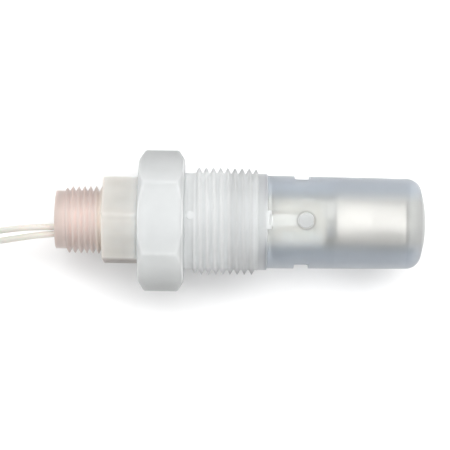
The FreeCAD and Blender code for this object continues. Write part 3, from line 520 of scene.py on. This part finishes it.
def rounded(points, radii, steps=4):
    """A polyline of (x, r) with arcs at its corners; radii has one number for each point, 0 at a sharp one."""
    out = []
    last = len(points) - 1
    for k, (p, rad) in enumerate(zip(points, radii)):
        if rad <= 0:
            out.append(p)
            continue
        if k in (0, last):
            out += [p] * (steps + 1)
            continue
        p = Vector(p)
        a, b = Vector(points[k - 1]) - p, Vector(points[k + 1]) - p
        la, lb = a.length, b.length
        if la < 1e-5 or lb < 1e-5:
            out += [tuple(p)] * (steps + 1)
            continue
        a, b = a / la, b / lb
        ang = a.angle(b)
        if ang > math.pi - 0.01 or ang < 0.02:
            out += [tuple(p)] * (steps + 1)
            continue
        reach = min(rad / math.tan(ang / 2), 0.46 * la, 0.46 * lb)
        rad = reach * math.tan(ang / 2)
        centre = p + (a + b).normalized() * (rad / math.sin(ang / 2))
        w0, w2 = (p + a * reach - centre) / rad, (p + b * reach - centre) / rad
        sweep = math.pi - ang
        for q in range(steps + 1):
            u = q / steps
            w = (w0 * math.sin((1 - u) * sweep) + w2 * math.sin(u * sweep)) / math.sin(sweep)
            v = centre + w * rad
            out.append((v.x, v.y))
    return out


def circle(a, b, radius, count):
    return [(a + radius * math.cos(2 * math.pi * i / count), b + radius * math.sin(2 * math.pi * i / count)) for i in range(count)]


def prism(name, outline, axis, lo, hi, mat, bevel=0.0):
    """A closed solid from an outline in the two other axes (in the order X, Y, Z), with its edges rounded."""
    lo, hi = min(lo, hi), max(lo, hi)
    put = {"X": lambda a, b, c: (c, a, b), "Y": lambda a, b, c: (a, c, b), "Z": lambda a, b, c: (a, b, c)}[axis]
    n = len(outline)
    verts = [put(a, b, lo) for a, b in outline] + [put(a, b, hi) for a, b in outline]
    faces = [tuple(range(n)), tuple(range(n, 2 * n))]
    faces += [(i, (i + 1) % n, n + (i + 1) % n, n + i) for i in range(n)]
    ob = make_object(name, verts, faces, mat)
    if bevel:
        bm = bmesh.new()
        bm.from_mesh(ob.data)
        edges = [e for e in bm.edges if len(e.link_faces) == 2 and e.calc_face_angle(0) > math.radians(30)]
        bmesh.ops.bevel(bm, geom=edges, offset=bevel * MM, offset_type="OFFSET", segments=3, profile=0.5, affect="EDGES", clamp_overlap=True)
        bmesh.ops.remove_doubles(bm, verts=bm.verts, dist=1e-7)
        bmesh.ops.recalc_face_normals(bm, faces=bm.faces)
        bm.to_mesh(ob.data)
        bm.free()
    return ob


def boolean(ob, tool, operation, keep=False):
    """Joins the tool to the object or cuts it out."""
    mod = ob.modifiers.new("join", "BOOLEAN")
    mod.operation = operation
    mod.solver = "EXACT"
    mod.object = tool
    bpy.context.view_layer.update()
    done = bpy.data.meshes.new_from_object(ob.evaluated_get(bpy.context.evaluated_depsgraph_get()))
    ob.modifiers.clear()
    old = ob.data
    ob.data = done
    done.name = old.name
    bpy.data.meshes.remove(old)
    if not keep:
        me = tool.data
        bpy.data.objects.remove(tool)
        bpy.data.meshes.remove(me)


def finish_mesh(ob, sharp):
    """Cleans the joins, turns the faces outward and sets which edges are sharp."""
    bm = bmesh.new()
    bm.from_mesh(ob.data)
    bmesh.ops.remove_doubles(bm, verts=bm.verts, dist=1e-6)
    bmesh.ops.dissolve_degenerate(bm, edges=bm.edges, dist=5e-7)
    bmesh.ops.recalc_face_normals(bm, faces=bm.faces)
    loose = [e for e in bm.edges if len(e.link_faces) != 2]
    print(ob.name, "faces", len(bm.faces), "open or shared edges", len(loose), "volume mm3", round(bm.calc_volume() * 1e9, 1))
    bm.to_mesh(ob.data)
    bm.free()
    while len(ob.data.materials) > 1:
        ob.data.materials.pop()
    ob.data.shade_smooth()
    ob.data.set_sharp_from_angle(angle=math.radians(sharp))


def hex_radius(t, flats, turn, corner):
    """The radius of a hexagon with rounded corners at angle t; turn is a corner's angle."""
    a = flats / 2
    centre = (a - corner) / math.cos(math.radians(30))
    phi = (t - turn) % math.radians(60)
    if phi > math.radians(30):
        phi -= math.radians(60)
    limit = math.atan2(corner * math.sin(math.radians(30)), centre + corner * math.cos(math.radians(30)))
    if abs(phi) <= limit:
        return centre * math.cos(phi) + math.sqrt(corner * corner - (centre * math.sin(phi)) ** 2)
    return a / math.cos(math.radians(30) - abs(phi))


TOOTH = [(0.0, 1.0), (0.045, 0.97), (0.24, 0.5), (0.42, 0.04), (0.5, 0.0), (0.58, 0.04), (0.76, 0.5), (0.955, 0.97)]


def thread(t, x0, x1, pitch, crest_at, root, crest0, crest1, fade0, fade1):
    """The (x, r) of a right-handed thread from x0 to x1 at angle t. crest_at is a crest's x at t = 0."""
    first = math.floor((x0 - crest_at) / pitch) - 1
    last = math.ceil((x1 - crest_at) / pitch) + 1
    out = []
    for k in range(first - 1, last + 1):
        for p, up in TOOTH:
            x = crest_at + (k + p + t / (2 * math.pi)) * pitch
            xc = min(max(x, x0), x1)
            share = (xc - x0) / (x1 - x0)
            crest = crest0 + (crest1 - crest0) * share
            fade = min(1.0, max(0.0, (xc - x0) / fade0), max(0.0, (x1 - xc) / fade1))
            out.append((xc, root + (crest - root) * up * fade))
    return out


# ------------------------------------------------------------------ lead wires
# The routes repeat the points of the solids: from the compound's face down to the surface,
# then into the coil, where both wires are wound together, one above the other.
FACE = -38.9
RUN_1 = [
    (FACE, -2.35, 0.3),
    (-44.6, -2.42, 0.1),
    (-50.6, -2.78, -1.7),
    (-57.2, -3.48, -5.2),
    (-64.0, -4.62, -9.5),
    (-71.0, -6.1, -13.1),
    (-78.0, -7.6, -15.2),
]
RUN_2 = [
    (FACE, -4.42, -0.2),
    (-44.4, -4.85, -0.5),
    (-50.4, -5.68, -2.5),
    (-57.0, -6.62, -6.3),
    (-63.6, -7.52, -11.0),
    (-70.5, -8.3, -15.0),
    (-77.8, -8.75, -17.25),
]
COIL_X, COIL_Y = -83.0, -24.5
COIL_BASE = FLOOR + 0.5
TURNS = 3.59
PER_TURN = 18


def coil_points(level):
    """In along the two lower rows, up at the middle, and out along the two upper rows."""
    step = 360.0 / PER_TURN
    grow = 1.0 / (0.75 + 0.25 * math.cos(math.radians(step)))
    total = 360.0 * TURNS * 2 + 120.0
    count = int(round(total / step))
    out = []
    for i in range(count + 1):
        a = total * i / count
        inward = min(a / (360.0 * TURNS), 1.0)
        climb = min(max((a - 360.0 * TURNS) / 120.0, 0.0), 1.0)
        outward = min(max((a - 360.0 * TURNS - 120.0) / (360.0 * TURNS), 0.0), 1.0)
        radius = 16.0 - 7.8 * inward + 7.0 * outward
        climb = climb * climb * (3 - 2 * climb)
        z = COIL_BASE + 1.0 + 2.07 * (level + 2 * climb)
        at = math.radians(98.0 + a)
        out.append((COIL_X + radius * grow * math.cos(at), COIL_Y + radius * grow * math.sin(at), z))
    return out


def wire(name, points):
    cu = bpy.data.curves.new(name, "CURVE")
    cu.dimensions = "3D"
    sp = cu.splines.new("NURBS")
    sp.points.add(len(points) - 1)
    for p, (x, y, z) in zip(sp.points, points):
        p.co = (x * MM, y * MM, z * MM, 1.0)
    sp.order_u = 3
    sp.use_endpoint_u = True
    sp.resolution_u = 6
    cu.bevel_depth = 1.0 * MM
    cu.bevel_resolution = 6
    cu.use_fill_caps = True
    cu.materials.append(LEAD)
    ob = bpy.data.objects.new(name, cu)
    scene.collection.objects.link(ob)
    return ob


def spline_length(ob):
    bare = bpy.data.objects.new("bare", ob.data.copy())
    bare.data.bevel_depth = 0
    me = bpy.data.meshes.new_from_object(bare)
    pts = [v.co.copy() for v in me.vertices]
    bpy.data.meshes.remove(me)
    return sum((b - a).length for a, b in zip(pts, pts[1:])), pts


wires = []
for number, (run, level) in enumerate(((RUN_1, 1), (RUN_2, 0)), start=1):
    w = wire("lead_wire_%d" % number, run + coil_points(level)[1:])
    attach(w, "root")
    if number == 1:
        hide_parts("lead_1_run", "lead_coil")
    else:
        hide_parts("lead_2_run")
    wires.append((w, run))


# ------------------------------------------------------------------ bare ends and tie
END_AT = math.radians(98.0 + 360.0 * TURNS * 2 + 120.0)


def strands(name, level):
    """Seven tinned strands twisted together, past the end of the insulation."""
    start = Vector((COIL_X + 15.2 * math.cos(END_AT), COIL_Y + 15.2 * math.sin(END_AT), COIL_BASE + 1.0 + 2.07 * level))
    along = Vector((-math.sin(END_AT), math.cos(END_AT), 0.0))
    side = Vector((math.cos(END_AT), math.sin(END_AT), 0.0))
    up = Vector((0, 0, 1))
    verts, faces = [], []
    sides, rings = 8, 28
    for k in range(7):
        off = 0.0 if k == 0 else 0.31
        for i in range(rings + 1):
            d = 7.8 * i / rings
            a = k * math.pi / 3 + d * 0.9
            c = start + along * (d + 0.1) + side * (off * math.cos(a)) + up * (off * math.sin(a))
            shrink = 1.0 if i < rings else 0.6
            for s in range(sides):
                b = 2 * math.pi * s / sides
                verts.append(tuple(c + (side * math.cos(b) + up * math.sin(b)) * 0.165 * shrink))
        base = k * (rings + 1) * sides
        for i in range(rings):
            for s in range(sides):
                n = (s + 1) % sides
                faces.append((base + i * sides + s, base + i * sides + n, base + (i + 1) * sides + n, base + (i + 1) * sides + s))
        faces.append(tuple(base + s for s in range(sides)))
        faces.append(tuple(base + rings * sides + s for s in range(sides)))
    return make_object(name, verts, faces, TIN, weld=1e-7)


tips = []
for number, level in ((1, 3), (2, 2)):
    tip = strands("bare_end_%d" % number, level)
    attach(tip, "root")
    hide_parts("lead_%d_tip" % number)
    tips.append(tip)

for (w, run), tip in zip(wires, tips):
    length, _ = spline_length(w)
    print("cord", w.name, round(length, 4))


# ------------------------------------------------------------------ process bushing
def bushing():
    """Large hexagon, neck, 1 in tapered thread, nose, spigot, snap arms and buttons, as one closed mesh."""

    def profile(t):
        r = hex_radius(t, 38.1, 0.0, 1.3)
        fall = 1.76 * (r - 18.9) / 2.8
        head = rounded(
            [(-13.9, 10.66), (-13.9, 18.9), (-13.9 + fall, r), (-fall, r), (0.0, 18.9), (0.0, 14.75), (2.8, 14.75)],
            [0.0, 0.5, 1.0, 1.0, 0.5, 0.5, 0.0],
            4,
        )
        teeth = thread(t, 2.8, 22.9, 2.209, 4.45, 14.8, 16.6, 16.3, 0.9, 0.9)
        nose = rounded(
            [(22.9, 14.8), (25.6, 14.8), (25.6, 12.78), (26.9, 12.78), (26.9, 11.0), (14.5, 11.0), (14.5, 8.0), (0.0, 8.0), (0.0, 10.22), (-13.9, 10.66)],
            [0.0, 0.3, 0.15, 0.25, 0.2, 0.4, 0.3, 0.2, 0.0, 0.0],
            3,
        )
        return head + teeth + nose

    angles = column_angles(2.0, [60 * k for k in range(6)], (0.0, 0.4, 0.8, 1.2, 1.6))
    ob = make_object("process_bushing_moulding", *ring_grid(angles, profile), MILKY)
    arc = lambda y, r: math.sqrt(r * r - y * y)
    for up in (1, -1):
        # the arm's cross-section follows the spigot's curve
        ys = [-1.85 + 3.7 * i / 8 for i in range(9)]
        section = [(y, up * arc(y, 12.55)) for y in ys] + [(y, up * arc(y, 11.05)) for y in reversed(ys)]
        arm = prism("arm", section, "X", 26.3, 39.7, MILKY, bevel=0.22)
        button = prism("button", circle(37.3, 0.0, 2.35, 40), "Z", up * 11.6, up * 14.15, MILKY, bevel=0.35)
        pad_plan = [(24.7, -2.8), (26.75, -2.8), (26.75, -1.75), (26.2, -1.5), (26.2, 1.5), (26.75, 1.75), (26.75, 2.8), (24.7, 2.8), (24.7, 1.75), (25.05, 1.5), (25.05, -1.5), (24.7, -1.75)]
        pad = prism("pad", pad_plan, "Z", up * 12.0, up * 14.62, MILKY, bevel=0.18)
        for part in (arm, button, pad):
            boolean(ob, part, "UNION")
        if up > 0:
            gate = prism("gate", circle(2.0, 1.1, 1.35, 24), "Z", 14.0, 15.05, MILKY, bevel=0.3)
            boolean(ob, gate, "UNION")
    finish_mesh(ob, 32.0)
    return ob


# ------------------------------------------------------------------ stem body
def stem_body():
    """Conduit thread, small hexagon, taper seat, boss and the stem, hollow for the reed and the leads."""

    def profile(t):
        r = hex_radius(t, 25.4, math.radians(56.1 - 90.0), 1.3)
        env = 14.66 - 0.9
        fall = max(0.12, 0.6 * (r - env) / 0.9)
        face = min(env, r - 0.12)
        inside = rounded(
            [(68.0, 0.0), (68.0, 2.6), (41.0, 2.6), (41.0, 5.0), (-18.0, 5.0), (-18.0, 7.5), (-39.5, 7.5), (-39.5, 8.95), (-36.7, 8.95)],
            [0.0, 0.5, 0.0, 0.4, 0.3, 0.4, 0.25, 0.3, 0.0],
            3,
        )
        teeth = thread(t, -36.7, -24.9, 1.814, -36.2, 8.95, 10.25, 10.45, 0.8, 0.5)
        outside = rounded(
            [(-24.9, 8.95), (-24.9, face), (-24.9 + fall, r), (-14.1, r), (-13.95, r - 0.15), (-13.95, 10.62), (-0.05, 10.19), (-0.05, 7.75), (43.6, 7.75), (43.6, 4.0), (68.9, 4.0), (68.9, 3.3), (69.7, 3.3), (69.7, 4.0), (70.2, 4.0), (70.2, 0.0)],
            [0.25, 0.3, 0.35, 0.1, 0.0, 0.0, 0.3, 0.2, 0.6, 0.4, 0.0, 0.0, 0.0, 0.0, 0.25, 0.0],
            3,
        )
        return inside + teeth + outside

    angles = column_angles(2.25, [56.1 - 90.0 + 60 * k for k in range(6)], (0.0, 0.6, 1.2, 1.8, 2.6))
    ob = make_object("stem_body_moulding", *ring_grid(angles, profile), STEM)
    finish_mesh(ob, 32.0)
    return ob


# ------------------------------------------------------------------ slosh shield
def slosh_shield():
    """A cup with two vent slots, two button holes, two rim notches and a drain in its tip."""

    def profile(t):
        outer = rounded(
            [(25.6, 12.9), (25.6, 14.3), (49.0, 14.08), (72.15, 13.87), (73.95, 6.2), (74.25, 0.0)],
            [0.0, 0.3, 0.0, 4.9, 12.0, 0.0],
            10,
        )
        inner = rounded(
            [(72.85, 0.0), (72.55, 6.2), (70.75, 12.47), (49.0, 12.68), (25.6, 12.9)],
            [0.0, 12.0, 3.5, 0.0, 0.0],
            10,
        )
        return outer + inner

    angles = column_angles(2.0, (), ())
    ob = make_object("slosh_shield_cup", *ring_grid(angles, profile), FROSTED)
    tools = []
    slot = []
    for i, (x, z) in enumerate([(37.7, 5.1), (37.7, -5.1), (34.7, -5.1), (34.7, 5.1)]):
        slot += [(x + 0.8 * math.sin(a), z + 0.8 * math.cos(a)) for a in [math.radians(90 * i + 15 * k) for k in range(7)]]
    for side in (1, -1):
        tools.append(prism("slot", slot, "Y", side * 7.0, side * 17.0, FROSTED))
        tools.append(prism("hole", circle(37.3, 0.0, 2.55, 48), "Z", side * 9.0, side * 17.0, FROSTED))
        notch = [(24.0, -2.95), (26.7, -2.95), (27.05, -2.8), (27.2, -2.45), (27.2, 2.45), (27.05, 2.8), (26.7, 2.95), (24.0, 2.95)]
        tools.append(prism("notch", notch, "Z", side * 9.0, side * 17.0, FROSTED))
    tools.append(prism("drain", circle(0.0, 0.0, 1.5, 40), "X", 68.0, 76.0, FROSTED))
    for tool in tools:
        boolean(ob, tool, "DIFFERENCE")
    finish_mesh(ob, 30.0)
    return ob


# ------------------------------------------------------------------ float and its clip
def float_body():
    """Two drawn shells joined round the middle by a fine seam."""

    def profile(t):
        outer = rounded(
            [(46.3, 4.8), (46.0, 5.6), (46.0, 11.7), (57.1, 11.7)],
            [0.0, 0.4, 1.1, 0.0],
            8,
        )
        seam = [(57.17, 11.71), (57.25, 11.715), (57.33, 11.71)]
        far = rounded([(57.4, 11.7), (68.5, 11.7), (68.5, 5.6), (68.2, 4.8)], [0.0, 1.1, 0.4, 0.0], 8)
        back = rounded(
            [(68.2, 4.8), (68.2, 11.4), (46.3, 11.4), (46.3, 4.8)],
            [0.0, 0.8, 0.8, 0.0],
            8,
        )
        return outer + seam + far + back

    ob = make_object("float_shells", *ring_grid(column_angles(2.5, (), ()), profile), FLOAT_STEEL)
    finish_mesh(ob, 40.0)
    return ob


def clip():
    """An open ring with rounded ends, sprung into the stem's groove."""
    outline = []
    gap_out, gap_in = math.radians(24), math.radians(44)
    n = 56
    for i in range(n + 1):
        a = math.radians(90) + gap_out + (2 * math.pi - 2 * gap_out) * i / n
        outline.append((6.0 * math.cos(a), 6.0 * math.sin(a)))
    for i in range(n + 1):
        a = math.radians(90) - gap_in - (2 * math.pi - 2 * gap_in) * i / n
        lobe = 0.45 * math.exp(-((((math.degrees(a) + 90) % 120) - 60) / 16.0) ** 2)
        outline.append(((3.42 + 0.5 - lobe) * math.cos(a), (3.42 + 0.5 - lobe) * math.sin(a)))
    ob = prism("retaining_clip", outline, "X", 68.95, 69.65, CLIP_STEEL, bevel=0.08)
    finish_mesh(ob, 35.0)
    return ob


# ------------------------------------------------------------------ potting
def potting():
    """The compound in the conduit end, drawn up the bore's wall and round each wire."""
    leads = [(-2.35, 0.3), (-4.42, -0.2)]
    radii = [7.46 * (i / 46) for i in range(47)]

    def profile(t):
        out = []
        for r in radii:
            y, z = r * math.cos(t), r * math.sin(t)
            rise = 0.24 * math.exp(-(7.46 - r) / 0.45)
            gap = min(math.hypot(y - a, z - b) for a, b in leads) - 1.0
            rise += 0.42 * math.exp(-max(gap, 0.0) / 0.38) * (1 - 0.6 * math.exp(-(7.46 - r) / 0.45))
            rise += 0.03 * math.sin(0.9 * y + 0.4) * math.cos(0.7 * z)
            out.append((-38.93 - rise, r))
        return out + [(-18.05, 7.46), (-18.05, 0.0)]

    ob = make_object("potting_fill", *ring_grid(column_angles(3.0, (), ()), profile), PINK)
    for name in ("lead_1_inner", "lead_2_inner"):
        boolean(ob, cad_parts[name], "DIFFERENCE", keep=True)
    finish_mesh(ob, 50.0)
    return ob


# ------------------------------------------------------------------ cable tie round the coil
def cable_tie():
    """A narrow ratchet tie: strap, head and trimmed tail."""
    at = math.radians(212.5)
    out_dir = Vector((math.cos(at), math.sin(at), 0.0))
    side = Vector((-math.sin(at), math.cos(at), 0.0))
    centre = Vector((COIL_X, COIL_Y, 0.0))
    lo, hi, low, high = 7.1 - 0.24, 17.1 + 0.24, COIL_BASE - 0.24, COIL_BASE + 8.3 + 0.24
    corners = [(hi, low), (hi, high), (lo, high), (lo, low)]
    loop = []
    for k, (cx, cz) in enumerate(corners):
        ex = cx - 1.1 if cx > 12 else cx + 1.1
        ez = cz - 1.1 if cz > -14 else cz + 1.1
        start = {0: -90, 1: 0, 2: 90, 3: 180}[k]
        for i in range(7):
            a = math.radians(start + 15 * i)
            loop.append((ex + 1.1 * math.cos(a), ez + 1.1 * math.sin(a)))
    half, thick = 1.55, 0.2
    section = [(-half, -thick * 0.5), (-half + 0.12, -thick), (half - 0.12, -thick), (half, -thick * 0.5), (half, thick * 0.5), (half - 0.12, thick), (-half + 0.12, thick), (-half, thick * 0.5)]
    verts, faces = [], []
    n, m = len(loop), len(section)
    for i, (rho, z) in enumerate(loop):
        a, b = Vector(loop[i - 1]), Vector(loop[(i + 1) % n])
        along = (b - a).normalized()
        normal = Vector((along.y, -along.x))
        for s, h in section:
            p = centre + out_dir * (rho + normal.x * h) + side * s
            verts.append((p.x, p.y, z + normal.y * h))
    for i in range(n):
        for s in range(m):
            faces.append((i * m + s, i * m + (s + 1) % m, ((i + 1) % n) * m + (s + 1) % m, ((i + 1) % n) * m + s))
    strap = make_object("coil_tie_strap", verts, faces, TIE)
    turn = Matrix(((out_dir.x, side.x, 0), (out_dir.y, side.y, 0), (0, 0, 1)))

    def placed(points, lo_z, hi_z, bevel, tilt=0.0):
        ob = prism("tie_part", points, "Z", lo_z, hi_z, TIE, bevel=bevel)
        for v in ob.data.vertices:
            c = v.co / MM
            z = c.z + (c.x - 13.0) * tilt
            p = centre + turn @ Vector((c.x, c.y, z))
            v.co = p * MM
        return ob

    top = COIL_BASE + 8.3
    head = placed([(9.6, -2.4), (14.2, -2.4), (14.2, 2.4), (9.6, 2.4)], top + 0.1, top + 3.4, 0.45)
    tail = placed([(13.6, -1.5), (20.2, -1.5), (20.5, -1.1), (20.5, 1.1), (20.2, 1.5), (13.6, 1.5)], top + 1.5, top + 2.3, 0.12, 0.16)
    boolean(strap, head, "UNION")
    boolean(strap, tail, "UNION")
    finish_mesh(strap, 35.0)
    return strap


pieces = [
    (bushing(), "milky_plastic", "root", ("process_bushing",)),
    (stem_body(), "stem_plastic", "root", ("stem_body",)),
    (slosh_shield(), "frosted_plastic", "root", ("slosh_shield",)),
    (potting(), "pink_epoxy", "root", ("potting",)),
    (float_body(), "float_steel", "float", ("float_shell_lead_side", "float_shell_tip_side")),
    (clip(), "spring_steel", "root", ("float_clip",)),
    (cable_tie(), "tie", "root", ("coil_tie",)),
]
for piece, slot, body, nodes in pieces:
    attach(piece, body)
    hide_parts(*nodes)

for name, mat in {
    "lead_1_inner": LEAD,
    "lead_2_inner": LEAD,
    "float_tube": FLOAT_STEEL,
    "float_magnet": MAGNET,
    "reed_glass": GLASS,
    "reed_blade_lead_side": REED,
    "reed_blade_tip_side": REED,
    "splice_sleeve_1": SLEEVE,
    "splice_sleeve_2": SLEEVE,
    "return_lead_sleeve": SLEEVE,
}.items():
    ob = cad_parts[name]
    if not ob.material_slots:
        raise ValueError(name + " has no material slot")
    for s in ob.material_slots:
        s.link = "OBJECT"
        s.material = mat


# ------------------------------------------------------------------ floor and light
def floor():
    verts = [(-4000, -4000, FLOOR), (4000, -4000, FLOOR), (4000, 4000, FLOOR), (-4000, 4000, FLOOR)]
    me = bpy.data.meshes.new("floor")
    me.from_pydata([(x * MM, y * MM, z * MM) for x, y, z in verts], [], [(0, 1, 2, 3)])
    m, nt, b = material("floor")
    nt.links.new(ramp(nt, noise(nt, 3.0), [(0.3, (0.90, 0.90, 0.90)), (0.7, (0.91, 0.91, 0.91))]), b.inputs["Base Color"])
    b.inputs["Roughness"].default_value = 0.9
    b.inputs["Specular IOR Level"].default_value = 0.1
    me.materials.append(m)
    ob = bpy.data.objects.new("floor", me)
    scene.collection.objects.link(ob)
    return ob


def area(name, place, target, size_x, size_y, power, colour=(1, 1, 1)):
    l = bpy.data.lights.new(name, "AREA")
    l.shape = "RECTANGLE"
    l.size, l.size_y = size_x, size_y
    l.energy = power
    l.color = colour
    ob = bpy.data.objects.new(name, l)
    scene.collection.objects.link(ob)
    ob.location = place
    ob.rotation_mode = "QUATERNION"
    ob.rotation_quaternion = (Vector(target) - Vector(place)).to_track_quat("-Z", "Y")
    ob.visible_camera = False
    return ob


ground = floor()


def lights_only(lamp, state):
    """The lamp lights the surface alone ("INCLUDE") or all but the surface ("EXCLUDE")."""
    group = bpy.data.collections.new(lamp.name + "_receives")
    group.objects.link(ground)
    group.collection_objects[0].light_linking.link_state = state
    lamp.light_linking.receiver_collection = group


# A white tent: a wide ceiling for the switch, and the same light for the surface, which is brighter than white in the
# photograph but for the shadow on the near side.
CEILING = area("ceiling", (0.0, 0.18, 1.0), (0.0, 0.18, 0.0), 3.0, 3.9, 31.0)
CEILING.data.cycles.use_multiple_importance_sampling = False
lights_only(CEILING, "EXCLUDE")
KEY = area("key", (0.02, 0.27, 0.85), (0.0, 0.0, 0.0), 0.9, 1.2, 5.9)
KEY.data.cycles.use_multiple_importance_sampling = False
lights_only(KEY, "EXCLUDE")
WALL = area("far_wall", (0.0, 1.9, 0.45), (0.0, 0.0, 0.45), 3.0, 0.86, 4.0)
WALL.data.cycles.use_multiple_importance_sampling = False
lights_only(WALL, "EXCLUDE")
lights_only(area("ceiling_surface", (0.0, 0.0, 1.0), (0.0, 0.0, 0.0), 2.4, 2.4, 24.5), "INCLUDE")
lights_only(area("far_side_surface", (0.08, 0.38, 0.85), (0.0, 0.0, 0.0), 1.2, 0.48, 6.2), "INCLUDE")
world = bpy.data.worlds.new("world")
scene.world = world
world.use_nodes = True
world.node_tree.nodes["Background"].inputs["Color"].default_value = (0.97, 0.98, 1.0, 1.0)
world.node_tree.nodes["Background"].inputs["Strength"].default_value = 0.2
scene.view_settings.view_transform = "Standard"
scene.view_settings.look = "None"
